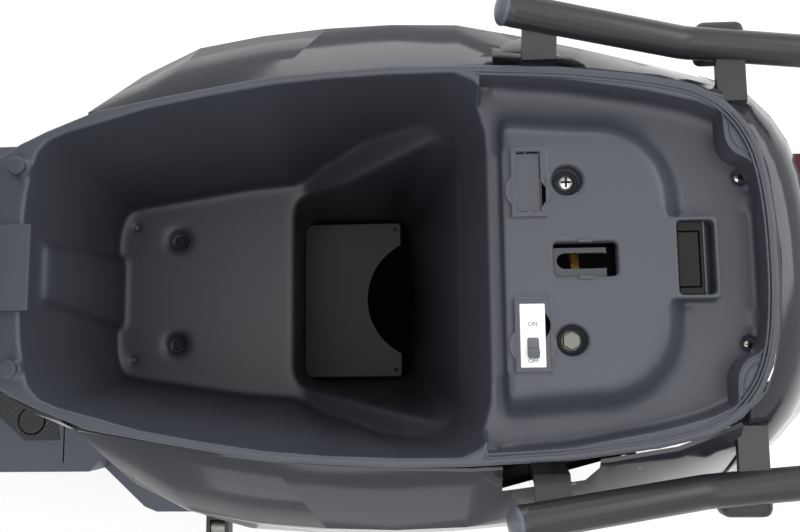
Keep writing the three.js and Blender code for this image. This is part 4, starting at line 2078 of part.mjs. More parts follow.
const rearBracket = (grow) => bracket(rearBracketOutline(grow), grabRearBracketRearX,
  grabRearBracketFrontX, grow);

function grabRail() {
  const front = vec(grabFrontX, grabFrontY, grabFrontZ);
  const bend = vec(grabBendX, grabBendY, grabBendZ);
  const rear = vec(grabRearX, grabRearY, grabRearZ);
  const way = front.clone().sub(bend).normalize();
  const tube = pipe([front.clone().addScaledVector(way, -grabRadius / 2), bend, rear], grabRadius,
    grabRadius * 5,
    roundSides / 2, 6);
  const back = front.clone().addScaledVector(way, -grabRadius / 2 - gap);
  const capShares = [[0, 0], [1, 0], [1, 0.5], [0.92, 0.75], [0.6, 0.95], [0, 1]];
  const cap = turned(capShares.map(([r, h]) => [r * grabRadius, h * grabRadius]), back.toArray(), way,
    roundSides / 2, false);
  return joined(tube, cap, frontBracket(0), rearBracket(0));
}

function tailLight(grow) {
  const half = tailLightWidth / 2 + grow;
  const low = tailLightZ - tailLightHeight / 2 - grow;
  const rear = tailLightX - tailLightDepth - grow;
  const outlineShares = [[0.55, 1], [0.86, 0.7], [1, 0.34]];
  return slab(bothSides([
    [tailLightX + grow, half], ...outlineShares.map(([a, w]) => [mix(tailLightX, rear, a), half * w]),
  ]), low, low + tailLightHeight + 2 * grow);
}

// The notch lets the rail's front bracket out past the panel's top edge.
function bracketNotch() {
  return slab([
    [notchFrontX, 0], [notchFrontX, notchFrontY], [notchRearX + notchCorner, notchRearY],
    [notchRearX, notchRearY - notchCorner], [notchRearX, 0],
  ], panelTopZ - rimFlangeDepth * 2, rimZ);
}

function sidePanel() {
  return cut(panelSkin(panelLevels, 11), bracketNotch(), rearBracket(gap * 3));
}

function tailCover() {
  const shell = panelSkin(wrapped(tailLevels, false), 15);
  return cut(shell, tailLight(gap * 2), rearBracket(gap * 3), mirrored(rearBracket(gap * 3)));
}

addPair('side_panel', sidePanel(), glossBlack);
addPiece('tail_cover', tailCover(), glossBlack);
addPiece('tail_light', tailLight(0), redLens);
addPiece('seat_front_cover', panelSkin(wrapped(frontLevels, true), 15), glossBlack);
addPair('grab_rail', grabRail(), satinBlack);

export default scooter;
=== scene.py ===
# A seated electric scooter on its centre stand, with the seat swung open over its storage tub.
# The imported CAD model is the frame. Everything is in metres, +X forward, +Y to the rider's left.
import json
import math

import bpy
import numpy as np
from mathutils import Matrix, Vector


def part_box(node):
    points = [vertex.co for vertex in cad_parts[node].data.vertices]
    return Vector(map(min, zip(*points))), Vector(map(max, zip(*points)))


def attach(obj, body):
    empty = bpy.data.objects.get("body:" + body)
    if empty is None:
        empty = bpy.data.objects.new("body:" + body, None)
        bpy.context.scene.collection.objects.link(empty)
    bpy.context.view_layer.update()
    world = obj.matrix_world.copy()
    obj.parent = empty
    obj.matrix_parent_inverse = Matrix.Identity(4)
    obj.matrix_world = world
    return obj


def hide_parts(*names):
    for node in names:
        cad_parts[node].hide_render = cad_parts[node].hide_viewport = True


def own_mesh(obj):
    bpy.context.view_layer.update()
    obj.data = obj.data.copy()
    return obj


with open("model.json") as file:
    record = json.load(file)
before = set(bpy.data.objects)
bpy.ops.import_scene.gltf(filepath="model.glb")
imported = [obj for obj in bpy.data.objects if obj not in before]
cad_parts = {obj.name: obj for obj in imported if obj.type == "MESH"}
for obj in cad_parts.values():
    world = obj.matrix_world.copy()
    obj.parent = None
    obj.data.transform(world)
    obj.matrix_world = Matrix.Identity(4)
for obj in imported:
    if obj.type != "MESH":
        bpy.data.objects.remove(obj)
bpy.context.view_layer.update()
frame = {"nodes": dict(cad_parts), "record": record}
bpy.ops.object.select_all(action="DESELECT")

# Camera
# A normal lens looks straight down into the open tub, from above its left rear quarter,
# as the photograph does.
camera_place = Vector((-0.46646, 0.08382, 1.31048))
camera_tilt = -0.1284
camera_yaw = 0.0557
camera_roll = -0.0181
turn = (
    Matrix.Rotation(camera_roll, 3, "Z")
    @ Matrix.Rotation(camera_yaw, 3, "Y")
    @ Matrix.Rotation(camera_tilt, 3, "X")
    @ Matrix(((-1, 0, 0), (0, 1, 0), (0, 0, -1)))
)
right, down, ahead = turn
camera = bpy.data.objects.new("camera", bpy.data.cameras.new("camera"))
camera.data.sensor_width = 36.0
camera.data.lens = 40.5
camera.data.clip_start = 0.02
camera.data.clip_end = 60.0
camera.matrix_world = (
    Matrix.Translation(camera_place) @ Matrix((right, -down, -ahead)).transposed().to_4x4()
)
bpy.context.scene.collection.objects.link(camera)
bpy.context.scene.camera = camera


# Studio
# A white painted floor under large soft lamps, as for a catalogue picture. The plain display
# transform keeps the floor white and the plastics as dark as they are.
bpy.context.scene.view_settings.view_transform = "Standard"


def linear(code):
    """An sRGB hex value as linear red, green, blue and alpha."""
    parts = [int(code[i:i + 2], 16) / 255 for i in (1, 3, 5)]
    return [p / 12.92 if p < 0.04045 else ((p + 0.055) / 1.055) ** 2.4 for p in parts] + [1.0]


def add_node(tree, kind, sockets=None, **settings):
    """Adds a node with its settings, and gives each socket a value or a link."""
    node = tree.nodes.new(kind)
    for key, value in settings.items():
        setattr(node, key, value)
    for socket, value in (sockets or {}).items():
        if isinstance(value, bpy.types.NodeSocket):
            tree.links.new(value, node.inputs[socket])
        else:
            node.inputs[socket].default_value = value
    return node


def new_material(name):
    """An empty node material, its tree, and the Object coordinates for its patterns."""
    material = bpy.data.materials.new(name)
    material.use_nodes = True
    material.node_tree.nodes.clear()
    place = add_node(material.node_tree, "ShaderNodeTexCoord").outputs["Object"]
    return material, material.node_tree, place


def surface(tree, **sockets):
    """Closes a material with one Principled surface."""
    names = {key: key.replace("_", " ") for key in sockets}
    names["IOR"] = "IOR"
    shader = add_node(tree, "ShaderNodeBsdfPrincipled", {names[k]: v for k, v in sockets.items()})
    add_node(tree, "ShaderNodeOutputMaterial", {"Surface": shader.outputs["BSDF"]})


floor_size = 14.0
bpy.ops.mesh.primitive_plane_add(size=floor_size, location=(0, 0, 0))
floor = bpy.context.object
floor.name = "studio_floor"
# Matt emulsion: an even white with no gloss.
floor_paint, tree, place = new_material("matt white studio paint")
surface(tree, Base_Color=linear("#fbfbfb"), Roughness=0.9)
floor.data.materials.append(floor_paint)
bpy.ops.object.select_all(action="DESELECT")

lamps = [
    ("overhead softbox", (-0.5, 0.5, 3.2), (-0.3, 0, 0.5), 2.6, 36.0),
    ("softbox behind the tail", (-2.8, -0.9, 2.2), (-0.3, 0, 0.6), 1.8, 30.0),
    ("softbox on the right", (-0.4, -3.0, 1.9), (-0.2, 0, 0.6), 1.8, 34.0),
    ("softbox on the left", (0.2, 3.0, 1.7), (-0.1, 0, 0.6), 1.8, 13.0),
    ("softbox ahead", (3.1, 0.5, 2.0), (0.2, 0, 0.6), 1.8, 30.0),
]
for name, lamp_place, aim, size, power in lamps:
    lamp_data = bpy.data.lights.new(name, "AREA")
    lamp_data.shape = "SQUARE"
    lamp_data.size = size
    lamp_data.energy = power
    lamp = bpy.data.objects.new(name, lamp_data)
    lamp.location = lamp_place
    lamp.rotation_euler = (Vector(aim) - Vector(lamp_place)).to_track_quat("-Z", "Y").to_euler()
    bpy.context.scene.collection.objects.link(lamp)
world = bpy.data.worlds.new("white studio")
world.use_nodes = True
world.node_tree.nodes["Background"].inputs["Color"].default_value = (1.0, 1.0, 1.0, 1.0)
world.node_tree.nodes["Background"].inputs["Strength"].default_value = 0.8
bpy.context.scene.world = world

# Frame, swingarm, fork yokes and centre stand
# Welded steel tube, bent cold, then blasted and powder coated black in one oven pass. The welds'
# edges are slightly rounded and the coat fills their corners.
body_of_node = {
    node: body for body, nodes in frame["record"]["behaviour"]["bodies"].items() for node in nodes
}


def only(piece):
    """Selects one piece alone and makes it the active one."""
    bpy.ops.object.select_all(action="DESELECT")
    piece.select_set(True)
    bpy.context.view_layer.objects.active = piece


def apply_place():
    """Writes the selected piece's place, turn and scale into its mesh."""
    bpy.ops.object.transform_apply(location=True, rotation=True, scale=True)


def edit_whole(piece):
    """Opens one piece in edit mode with all of its mesh selected."""
    only(piece)
    bpy.ops.object.mode_set(mode="EDIT")
    bpy.ops.mesh.select_all(action="SELECT")


def apply_modifiers(piece):
    only(piece)
    for modifier in list(piece.modifiers):
        bpy.ops.object.modifier_apply(modifier=modifier.name)


def merged_copy(node):
    """A copy of a CAD node's solid with its loose triangles joined up."""
    piece = bpy.data.objects.new(node + "_copy", frame["nodes"][node].data.copy())
    bpy.context.scene.collection.objects.link(piece)
    edit_whole(piece)
    bpy.ops.mesh.remove_doubles(threshold=0.00001)
    bpy.ops.mesh.customdata_custom_splitnormals_clear()
    bpy.ops.object.mode_set(mode="OBJECT")
    return piece


def break_edges(piece, width, segments=2, angle=34):
    """Rounds every edge sharper than an angle in degrees."""
    bevel = piece.modifiers.new("broken edges", "BEVEL")
    bevel.width = width
    bevel.segments = segments
    bevel.limit_method = "ANGLE"
    bevel.angle_limit = math.radians(angle)
    apply_modifiers(piece)


even_shading_faces = 60000


def settle(piece, name, material, smooth=32, body="scooter_body", even=True):
    """Applies the piece's place, smooths its round faces, and gives it its material and body."""
    only(piece)
    apply_place()
    bpy.ops.object.shade_smooth_by_angle(angle=math.radians(smooth))
    if even and len(piece.data.polygons) < even_shading_faces:
        flats = piece.modifiers.new("flat faces stay flat", "WEIGHTED_NORMAL")
        flats.keep_sharp = True
        apply_modifiers(piece)
    piece.name = name
    piece.data.name = name
    piece.data.materials.clear()
    piece.data.materials.append(material)
    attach(piece, body)
    bpy.ops.object.select_all(action="DESELECT")
    return piece


def dress(node, material, edge=0.0008, smooth=32):
    """A CAD node's own shape with its edges broken, standing for that node."""
    piece = merged_copy(node)
    break_edges(piece, edge)
    settle(piece, node + "_finished", material, smooth, body=body_of_node[node])
    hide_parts(node)
    return piece


def noise(tree, place, scale, detail):
    """A noise pattern over the Object coordinates, from 0 to 1."""
    return add_node(
        tree, "ShaderNodeTexNoise", {"Vector": place, "Scale": scale, "Detail": detail},
    ).outputs["Fac"]


def spread(tree, share, low, high):
    """A share from 0 to 1 spread between two values."""
    return add_node(
        tree, "ShaderNodeMapRange", {"Value": share, "To Min": low, "To Max": high},
    ).outputs["Result"]


def bumped(tree, height, distance, strength):
    """The surface direction where a pattern stands up by a distance."""
    return add_node(
        tree, "ShaderNodeBump", {"Height": height, "Distance": distance, "Strength": strength},
    ).outputs["Normal"]


def powder_coat(name, colour, roughness):
    """Baked powder over steel: a fine orange peel in a satin skin."""
    material, tree, place = new_material(name)
    peel = noise(tree, place, 620.0, 3.0)
    bump = bumped(tree, peel, 0.0001, 0.6)
    dust = noise(tree, place, 14.0, 4.0)
    rough = spread(tree, dust, roughness - 0.06, roughness + 0.08)
    surface(tree, Base_Color=linear(colour), Roughness=rough, IOR=1.5, Normal=bump)
    return material


# Black polyester powder on steel tube: satin, with soft broad highlights along the bends.
frame_coat = powder_coat("black powder coat", "#191a1c", 0.42)
for node in ("main_frame", "swingarm", "centre_stand", "fork_upper"):
    dress(node, frame_coat)

# Battery pack and motor controller
# The pack is a folded case of blue ABS, screwed shut. The controller is a finned aluminium
# extrusion with its die lines left bare, bolted under the tub.


def two_tone(tree, share, dark, light):
    """A colour between a dark and a light one."""
    return add_node(
        tree, "ShaderNodeMix", {"Factor": share, 6: dark, 7: light}, data_type="RGBA",
    ).outputs[2]


def moulded_plastic(name, colour, roughness, grain=0.0006, depth=0.00006, mottle=0.05):
    """Injection-moulded polymer: a spark-eroded grain breaks up a soft sheen."""
    material, tree, place = new_material(name)
    grain_noise = noise(tree, place, 1 / grain, 3.0)
    flow_noise = noise(tree, place, 9.0, 4.0)
    dark = [c * (1 - mottle) for c in linear(colour)[:3]] + [1.0]
    light = [c * (1 + mottle) for c in linear(colour)[:3]] + [1.0]
    tone = two_tone(tree, flow_noise, dark, light)
    rough = spread(tree, flow_noise, roughness - 0.05, roughness + 0.06)
    bump = bumped(tree, grain_noise, depth, 0.8)
    surface(tree, Base_Color=tone, Roughness=rough, IOR=1.49, Normal=bump)
    return material


def metal_surface(name, colour, roughness, grain=0.002, depth=0.00004, stretch=(1, 1, 1)):
    """Bare or plated metal: grain or tool marks scatter its mirror."""
    material, tree, place = new_material(name)
    drawn = add_node(tree, "ShaderNodeMapping", {"Vector": place, "Scale": stretch})
    marks = noise(tree, drawn.outputs["Vector"], 1 / grain, 4.0)
    rough = spread(tree, marks, roughness * 0.8, roughness * 1.25)
    bump = bumped(tree, marks, depth, 0.5)
    surface(tree, Base_Color=linear(colour), Metallic=1.0, Roughness=rough, Normal=bump)
    return material


# Blue-grey ABS case: a dull, even moulded skin.
case_plastic = moulded_plastic("blue-grey battery case ABS", "#2c3848", 0.5)
dress("battery_pack", case_plastic, edge=0.003)
# Extruded aluminium: pale, with fine die lines drawn along its length.
extruded_alloy = metal_surface("extruded aluminium", "#a9acb0", 0.36, stretch=(0.05, 1, 1))
dress("motor_controller", extruded_alloy)


def block(low, high, edge, segments=2):
    """A block between two corners with all its edges rounded."""
    middle = [(a + b) / 2 for a, b in zip(low, high)]
    bpy.ops.mesh.primitive_cube_add(size=1, location=middle)
    piece = bpy.context.object
    piece.scale = [b - a for a, b in zip(low, high)]
    apply_place()
    edit_whole(piece)
    bpy.ops.mesh.bevel(offset=edge, segments=segments, affect="EDGES")
    bpy.ops.object.mode_set(mode="OBJECT")
    return piece


def side_block(side, low, high, edge, segments=2):
    """A block given on the left, built there or mirrored to the right."""
    low_y, high_y = sorted((side * low[1], side * high[1]))
    return block((low[0], low_y, low[2]), (high[0], high_y, high[2]), edge, segments)


def joined(pieces):
    """Several new pieces as one mesh."""
    bpy.ops.object.select_all(action="DESELECT")
    for piece in pieces:
        piece.select_set(True)
    bpy.context.view_layer.objects.active = pieces[0]
    bpy.ops.object.join()
    return bpy.context.object


def round_head(radius, height, place, axis=(0, 0, 1), sides=6, edge=0.0005):
    """A bolt head, washer or boss: a disc with its rims rounded, standing on a place."""
    way = Vector(axis).normalized()
    bpy.ops.mesh.primitive_cylinder_add(
        vertices=sides, radius=radius, depth=height, location=Vector(place) + way * height / 2,
        rotation=way.to_track_quat("Z", "Y").to_euler(),
    )
    piece = bpy.context.object
    apply_place()
    break_edges(piece, edge, segments=3, angle=32)
    return piece


# Zinc-plated steel screws close the battery case along both long sides.
bright_zinc = metal_surface("bright zinc plate", "#c3c4c0", 0.24)
case_low, case_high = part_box("battery_pack")
case_screw_count = 5
case_screws = []
for i in range(case_screw_count):
    x = case_low[0] + (case_high[0] - case_low[0]) * (i + 0.5) / case_screw_count
    for y, side in ((case_low[1], -1), (case_high[1], 1)):
        case_screws.append(round_head(0.004, 0.0022, (x, y, case_high[2] - 0.02), (0, side, 0), 18))
settle(joined(case_screws), "battery_case_screws", bright_zinc)

# Floorboard and belly pan
# Two polypropylene mouldings clipped to the frame rails. A moulded rubber mat with slanting ribs
# lies in the footwell, and a smaller one on each side step.
satin_moulding = moulded_plastic("satin black polypropylene", "#232528", 0.48)
floor_moulding = moulded_plastic("charcoal grained polypropylene", "#474b54", 0.5)
dress("floorboard", floor_moulding, edge=0.0015)
dress("belly_pan", satin_moulding)


def ribbed_rubber(name, pitch):
    """Moulded floor rubber: slanting ribs of a given pitch, dull from shoe dust."""
    material, tree, place = new_material(name)
    slanted = add_node(tree, "ShaderNodeMapping", {"Vector": place, "Rotation": (0, 0, math.radians(52))})
    ribs = add_node(tree, "ShaderNodeTexWave", {
        "Vector": slanted.outputs["Vector"], "Scale": 2 * math.pi / pitch / 20, "Distortion": 0.0,
    }, wave_profile="SIN")
    dust = noise(tree, place, 30.0, 5.0)
    tone = two_tone(tree, dust, linear("#2b2c2f"), linear("#3c3d40"))
    bump = bumped(tree, ribs.outputs["Fac"], pitch * 0.3, 0.9)
    surface(tree, Base_Color=tone, Roughness=0.72, IOR=1.52, Normal=bump)
    return material


mat_rubber = ribbed_rubber("ribbed floor rubber", 0.004)


def thicken(piece, reach):
    """Extrudes a flat face into a closed plate."""
    edit_whole(piece)
    bpy.ops.mesh.extrude_region_move(TRANSFORM_OT_translate={"value": reach})
    bpy.ops.mesh.select_all(action="SELECT")
    bpy.ops.mesh.normals_make_consistent(inside=False)
    bpy.ops.object.mode_set(mode="OBJECT")


def plate(outline, low, high, edge):
    """A flat plate with a drawn outline, extruded upwards, with its rim rounded."""
    bpy.ops.mesh.primitive_circle_add(vertices=len(outline), radius=1, fill_type="NGON")
    piece = bpy.context.object
    for vertex, (x, y) in zip(piece.data.vertices, outline):
        vertex.co = (x, y, low)
    thicken(piece, (0, 0, high - low))
    break_edges(piece, edge, angle=40)
    return piece


def both_sides(outline):
    return outline + [(x, -y) for x, y in reversed(outline)]


floor_top = 0.394
mat_thickness = 0.003
mat_front = 0.232
mat_rear = 0.03
mat_half = 0.128
mat_corner = 0.035
footwell_mat = plate(both_sides([
    (mat_front, mat_half - mat_corner), (mat_front - mat_corner, mat_half),
    (mat_rear + mat_corner, mat_half), (mat_rear, mat_half - mat_corner),
]), floor_top, floor_top + mat_thickness, 0.001)
settle(footwell_mat, "footwell_mat", mat_rubber)
left_and_right = ((1, "left"), (-1, "right"))
heel_patch = [(0.026, 0.075), (-0.061, 0.124), (-0.064, 0.139), (-0.027, 0.139), (0.026, 0.092)]
for side, name in left_and_right:
    outline = [(x, side * y) for x, y in heel_patch][::side]
    patch = plate(outline, floor_top, floor_top + mat_thickness / 2, 0.0005)
    settle(patch, "heel_patch_" + name, mat_rubber)

# A round plug covers each floor bolt. The dark ring round it and the dark seam behind it are painted
# shade: an open gap or slot sends almost no light back, so these pieces are near black with hardly any
# shine.
shadow_gap, tree, place = new_material("unlit gap")
depth = noise(tree, place, 120.0, 2.0)
tone = two_tone(tree, depth, linear("#030304"), linear("#09090b"))
surface(tree, Base_Color=tone, Roughness=0.95, IOR=1.03)
plug_place = (-0.034, 0.119)
plug_radius = 0.0134
seam_x = -0.068
seam_half = 0.0006
for side, name in left_and_right:
    x, y = plug_place[0], side * plug_place[1]
    ring = round_head(plug_radius * 1.1, 0.0018, (x, y, floor_top), sides=40)
    settle(ring, "floor_plug_gap_" + name, shadow_gap)
    plug = round_head(plug_radius, 0.0026, (x, y, floor_top), sides=40, edge=0.0012)
    settle(plug, "floor_plug_" + name, satin_moulding)
    seam = side_block(
        side, (seam_x - seam_half, 0.124, floor_top - 0.0004),
        (seam_x + seam_half, 0.162, floor_top + 0.0003), 0.0002,
    )
    settle(seam, "floor_seam_" + name, shadow_gap)

# Front shell
# The leg shield and the nose are two ABS mouldings screwed together over the head tube. The nose
# is painted and lacquered, and the shield inside it is left as moulded.


def gloss_paint(name, colour, roughness=0.12):
    """Lacquered ABS: one smooth glossy skin with a faint orange peel and dust."""
    material, tree, place = new_material(name)
    peel = noise(tree, place, 240.0, 2.0)
    bump = bumped(tree, peel, 0.00002, 0.4)
    dust = noise(tree, place, 11.0, 5.0)
    rough = spread(tree, dust, roughness * 0.8, roughness * 1.5)
    surface(tree, Base_Color=linear(colour), Roughness=rough, IOR=1.5, Normal=bump)
    return material


# Graphite lacquer over ABS: nearly black where it is faced, bright where it is seen aslant.
panel_gloss = gloss_paint("graphite lacquered ABS", "#292b30")


def skin(node, material):
    """A thin moulded shell: its CAD shape with soft rims, its long faces shaded as one."""
    piece = merged_copy(node)
    break_edges(piece, 0.0014, angle=46)
    settle(piece, node + "_finished", material, 58, body=body_of_node[node], even=False)
    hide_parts(node)
    return piece


skin("front_apron", panel_gloss)
dress("leg_shield", satin_moulding, edge=0.002)


def clear_lens(name, colour, roughness, transmission=0.0):
    """Moulded acrylic or polycarbonate: a hard gloss over a tinted body."""
    material, tree, place = new_material(name)
    flow = noise(tree, place, 60.0, 2.0)
    rough = spread(tree, flow, roughness * 0.8, roughness * 1.3)
    surface(tree, Base_Color=linear(colour), Roughness=rough, IOR=1.49, Transmission_Weight=transmission)
    return material


def cut_off(piece, place, way, fill=True):
    """Cuts a piece at a plane through a place and drops the side that the plane faces."""
    edit_whole(piece)
    bpy.ops.mesh.bisect(plane_co=place, plane_no=way, clear_outer=True, use_fill=fill)
    bpy.ops.object.mode_set(mode="OBJECT")


# Headlamp: a clear domed lens over a bright metallised bowl with a lamp shield at its middle.
lamp_lens = clear_lens("clear polycarbonate lens", "#f4f7f9", 0.03, 0.92)
dress("headlight", lamp_lens)
reflector_chrome = metal_surface("metallised lamp bowl", "#d9dcdf", 0.08)
lamp_low, lamp_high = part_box("headlight")
lamp_middle = [(a + b) / 2 for a, b in zip(lamp_low, lamp_high)]
lamp_radius = (lamp_high[2] - lamp_low[2]) / 2
bpy.ops.mesh.primitive_uv_sphere_add(
    segments=48, ring_count=24, radius=lamp_radius * 0.86, location=lamp_middle,
)
bowl = bpy.context.object
bowl.scale = (0.32, 1, 1)
apply_place()
cut_off(bowl, (lamp_middle[0] - 0.004, 0, 0), (1, 0, 0), fill=False)
wall = bowl.modifiers.new("bowl wall", "SOLIDIFY")
wall.thickness = 0.0012
apply_modifiers(bowl)
settle(bowl, "headlight_bowl", reflector_chrome)
shield_place = (lamp_middle[0] - 0.008, 0, lamp_middle[2])
shield_cap = round_head(lamp_radius * 0.28, 0.006, shield_place, (1, 0, 0), 32, 0.002)
settle(shield_cap, "headlight_bulb_shield", reflector_chrome)
bpy.ops.mesh.primitive_torus_add(
    major_segments=72, minor_segments=14, major_radius=lamp_radius + 0.003, minor_radius=0.0045,
    location=(lamp_low[0] + 0.02, 0, lamp_middle[2]), rotation=(0, math.pi / 2, 0),
)
# Chrome trim ring, polished bright.
polished_chrome = metal_surface("bright chrome plate", "#dcdee0", 0.07)
settle(bpy.context.object, "headlight_trim", polished_chrome, 60)

# Front fork, wheel and brake
# Telescopic sliders of cast aluminium, machined where the stanchions run, on a cast alloy wheel
# with a stainless disc and a painted caliper. The mudguard is lacquered like the nose.
bare_alloy = metal_surface("machined aluminium", "#a9acb0", 0.3)
dress("fork_sliders", bare_alloy, edge=0.0015)
skin("front_fender", panel_gloss)
# Painted alloy casting: black, with the sand's faint tooth left in the skin.
black_alloy = powder_coat("black painted aluminium casting", "#1e1f21", 0.36)
dress("front_wheel", black_alloy, edge=0.0015)
dress("front_caliper", black_alloy, edge=0.0015)
dress("front_axle", bright_zinc)
brushed_steel = metal_surface("ground stainless steel", "#b5b6b6", 0.22, stretch=(1, 0.1, 1))
dress("front_disc", brushed_steel, edge=0.0003)

# Drilled holes through the disc's band, in rows of three along slanting lines, drawn as thin dark discs on
# its face: painted shade.
disc_low, disc_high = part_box("front_disc")
disc_middle = [(a + b) / 2 for a, b in zip(disc_low, disc_high)]
disc_radius = (disc_high[2] - disc_low[2]) / 2
disc_holes = []
hole_rows = 18
hole_radius = 0.0028
for i in range(hole_rows):
    for j in range(3):
        angle = 2 * math.pi * (i + j * 0.22) / hole_rows
        r = disc_radius * (0.72 + 0.1 * j)
        x, z = disc_middle[0] + r * math.cos(angle), disc_middle[2] + r * math.sin(angle)
        place = (x, disc_high[1] - 0.0002, z)
        disc_holes.append(round_head(hole_radius, 0.0004, place, (0, 1, 0), 14, 0.00008))
settle(joined(disc_holes), "brake_disc_holes", shadow_gap, body="front_wheel_assembly")


def coordinates(mesh):
    place = np.empty(len(mesh.vertices) * 3)
    mesh.vertices.foreach_get("co", place)
    return place.reshape(-1, 3)


def set_coordinates(mesh, place):
    mesh.vertices.foreach_set("co", np.ascontiguousarray(place).ravel())
    mesh.update()


ring_groove = 0.26
slant_grooves = 36
groove_depth = 0.0028


def tread_depth(around, across):
    """How deep the tread is cut: two ring grooves, and slanting grooves out to the shoulders."""
    ring = np.exp(-((np.abs(across) - ring_groove) / 0.045) ** 2)
    slant = np.abs(((around * slant_grooves / (2 * np.pi) + np.abs(across) * 1.3) % 1.0) - 0.5) * 2
    cross = np.clip((0.26 - slant) / 0.1, 0, 1) * np.clip((np.abs(across) - 0.34) / 0.05, 0, 1)
    shoulder = np.clip((0.98 - np.abs(across)) / 0.08, 0, 1)
    return groove_depth * np.maximum(ring, cross) * shoulder


def tyre_tread(node, body, material):
    """A road tyre: a ring with the CAD tyre's width and radii, and a moulded tread."""
    low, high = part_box(node)
    middle = [(a + b) / 2 for a, b in zip(low, high)]
    outer = (high[2] - low[2]) / 2
    half = (high[1] - low[1]) / 2
    section = half * 0.985
    bpy.ops.mesh.primitive_torus_add(
        major_segments=324, minor_segments=84, major_radius=outer - section, minor_radius=section,
        location=middle, rotation=(math.pi / 2, 0, 0),
    )
    piece = bpy.context.object
    apply_place()
    place = coordinates(piece.data) - np.array(middle)
    ring_radius = np.hypot(place[:, 0], place[:, 2])
    around = np.arctan2(place[:, 2], place[:, 0])
    from_core = ring_radius - (outer - section)
    squared = np.hypot(from_core, place[:, 1])
    across = place[:, 1] / section
    tread_side = from_core > 0
    cut = np.where(tread_side, tread_depth(around, across / 0.8), 0)
    ribs = np.where(np.abs(across) > 0.86, 0.0004 * np.sin(from_core * 2400), 0)
    grow = (squared - cut + ribs) / squared
    from_core, side_place = from_core * grow, place[:, 1] * grow
    ring_radius = outer - section + from_core
    place = np.stack([ring_radius * np.cos(around), side_place, ring_radius * np.sin(around)], 1)
    set_coordinates(piece.data, place + np.array(middle))
    settle(piece, node + "_finished", material, 40, body=body)
    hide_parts(node)


# Tyre rubber: carbon-filled, dull, greyed a little by the road.
rubber = moulded_plastic("vulcanised tyre rubber", "#1b1b1c", 0.72, grain=0.0012, depth=0.0001, mottle=0.12)
tyre_tread("front_tyre", "front_wheel_assembly", rubber)

# Handlebar
# A bent steel bar in the fork's clamp, with moulded rubber grips, cast levers, plastic switch pods
# and a small cowl over the clamp.
dress("handlebar", frame_coat)


def ring_bands(node, count, reach, wire):
    """Raised rings spaced along a round CAD solid's own axis, over a share of its length."""
    mesh = frame["nodes"][node].data
    place = np.array([v.co for v in mesh.vertices])
    low, high = (np.array(corner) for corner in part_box(node))
    middle = (low + high) / 2
    ends = [place[np.abs(place[:, 1] - y) < 0.004].mean(0) for y in (low[1] + 0.012, high[1] - 0.012)]
    axis = Vector(ends[1] - ends[0]).normalized()
    off_axis = place - middle
    off_axis -= np.outer(off_axis @ np.array(axis), np.array(axis))
    radius = np.median(np.linalg.norm(off_axis, axis=1))
    length = (high[1] - low[1]) / abs(axis.y)
    rings = []
    for i in range(count):
        along = length * reach * ((i + 0.5) / count - 0.5)
        bpy.ops.mesh.primitive_torus_add(
            major_segments=40, minor_segments=8, major_radius=radius, minor_radius=wire,
            location=Vector(middle) + axis * along, rotation=axis.to_track_quat("Z", "Y").to_euler(),
        )
        rings.append(bpy.context.object)
    return joined(rings)


for node in ("grip_left", "throttle_grip"):
    dress(node, rubber, edge=0.001)
    settle(ring_bands(node, 14, 0.78, 0.0011), node + "_rings", rubber, 60, body=body_of_node[node])
for node in ("switch_pod_left", "switch_pod_right"):
    dress(node, satin_moulding, edge=0.0016)
for node in ("brake_lever_left", "brake_lever_right"):
    dress(node, bare_alloy, edge=0.002)
# Coloured control buttons: red horn, grey slider.
dress("horn_button", moulded_plastic("red acetal button", "#8c1a17", 0.35))
dress("turn_switch", moulded_plastic("grey acetal slider", "#6e7074", 0.4))
skin("instrument_cowl", panel_gloss)

# The display is a dark acrylic window with a row of charge bars.
cowl_low, cowl_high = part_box("instrument_cowl")
cowl_x = (cowl_low[0] + cowl_high[0]) / 2 - 0.008
display_long = 0.028
display_wide = 0.046
display_black = clear_lens("black acrylic display window", "#0b0d10", 0.06)
display = block(
    (cowl_x - display_long, -display_wide, cowl_high[2] - 0.001),
    (cowl_x + display_long, display_wide, cowl_high[2] + 0.0012), 0.0009,
)
settle(display, "display_window", display_black, body="steering")
lit_grey = moulded_plastic("lit display segment", "#a9c7cf", 0.4)
bar_pitch = 0.0075
bar_count = 5
bars = [
    block(
        (cowl_x - 0.021, -0.036 + i * bar_pitch, cowl_high[2] + 0.0011),
        (cowl_x - 0.014, -0.031 + i * bar_pitch, cowl_high[2] + 0.0014), 0.0001,
    )
    for i in range(bar_count)
]
settle(joined(bars), "display_charge_bars", lit_grey, body="steering")

# Mirror stems and shells are one moulding, with silvered glass set into the rear face.
mirror_glass = metal_surface("silvered mirror glass", "#c8cdd0", 0.02, depth=0.0)
mirror_stem_y = 0.292
mirror_width = 0.142
glass_half_height = 0.035
glass_half_width = 0.061
for side, name in left_and_right:
    dress("mirror_" + name, satin_moulding, edge=0.0015)
    low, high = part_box("mirror_" + name)
    y = side * (mirror_stem_y + mirror_width / 6 + 0.008)
    bpy.ops.mesh.primitive_circle_add(
        vertices=48, radius=1, fill_type="NGON", location=(low[0] - 0.0006, y, high[2] - 0.042),
        rotation=(0, -math.pi / 2, 0),
    )
    glass = bpy.context.object
    glass.scale = (glass_half_height, glass_half_width, 1)
    apply_place()
    thicken(glass, (0.001, 0, 0))
    break_edges(glass, 0.0003)
    settle(glass, "mirror_glass_" + name, mirror_glass, body=name + "_mirror")

# Rear wheel, shocks and mudguard
# The motor fills the hub of a cast wheel. Two chromed coil springs stand on painted dampers, and
# the mudguard is a plain black moulding with a flat tail for a plate.
dress("hub_motor", black_alloy, edge=0.0015)
tyre_tread("rear_tyre", "rear_wheel_assembly", rubber)
dress("rear_axle", bright_zinc)
dress("rear_mudguard", satin_moulding)
for name in ("left", "right"):
    dress("shock_body_" + name, black_alloy)
    dress("shock_rod_" + name, bright_zinc)


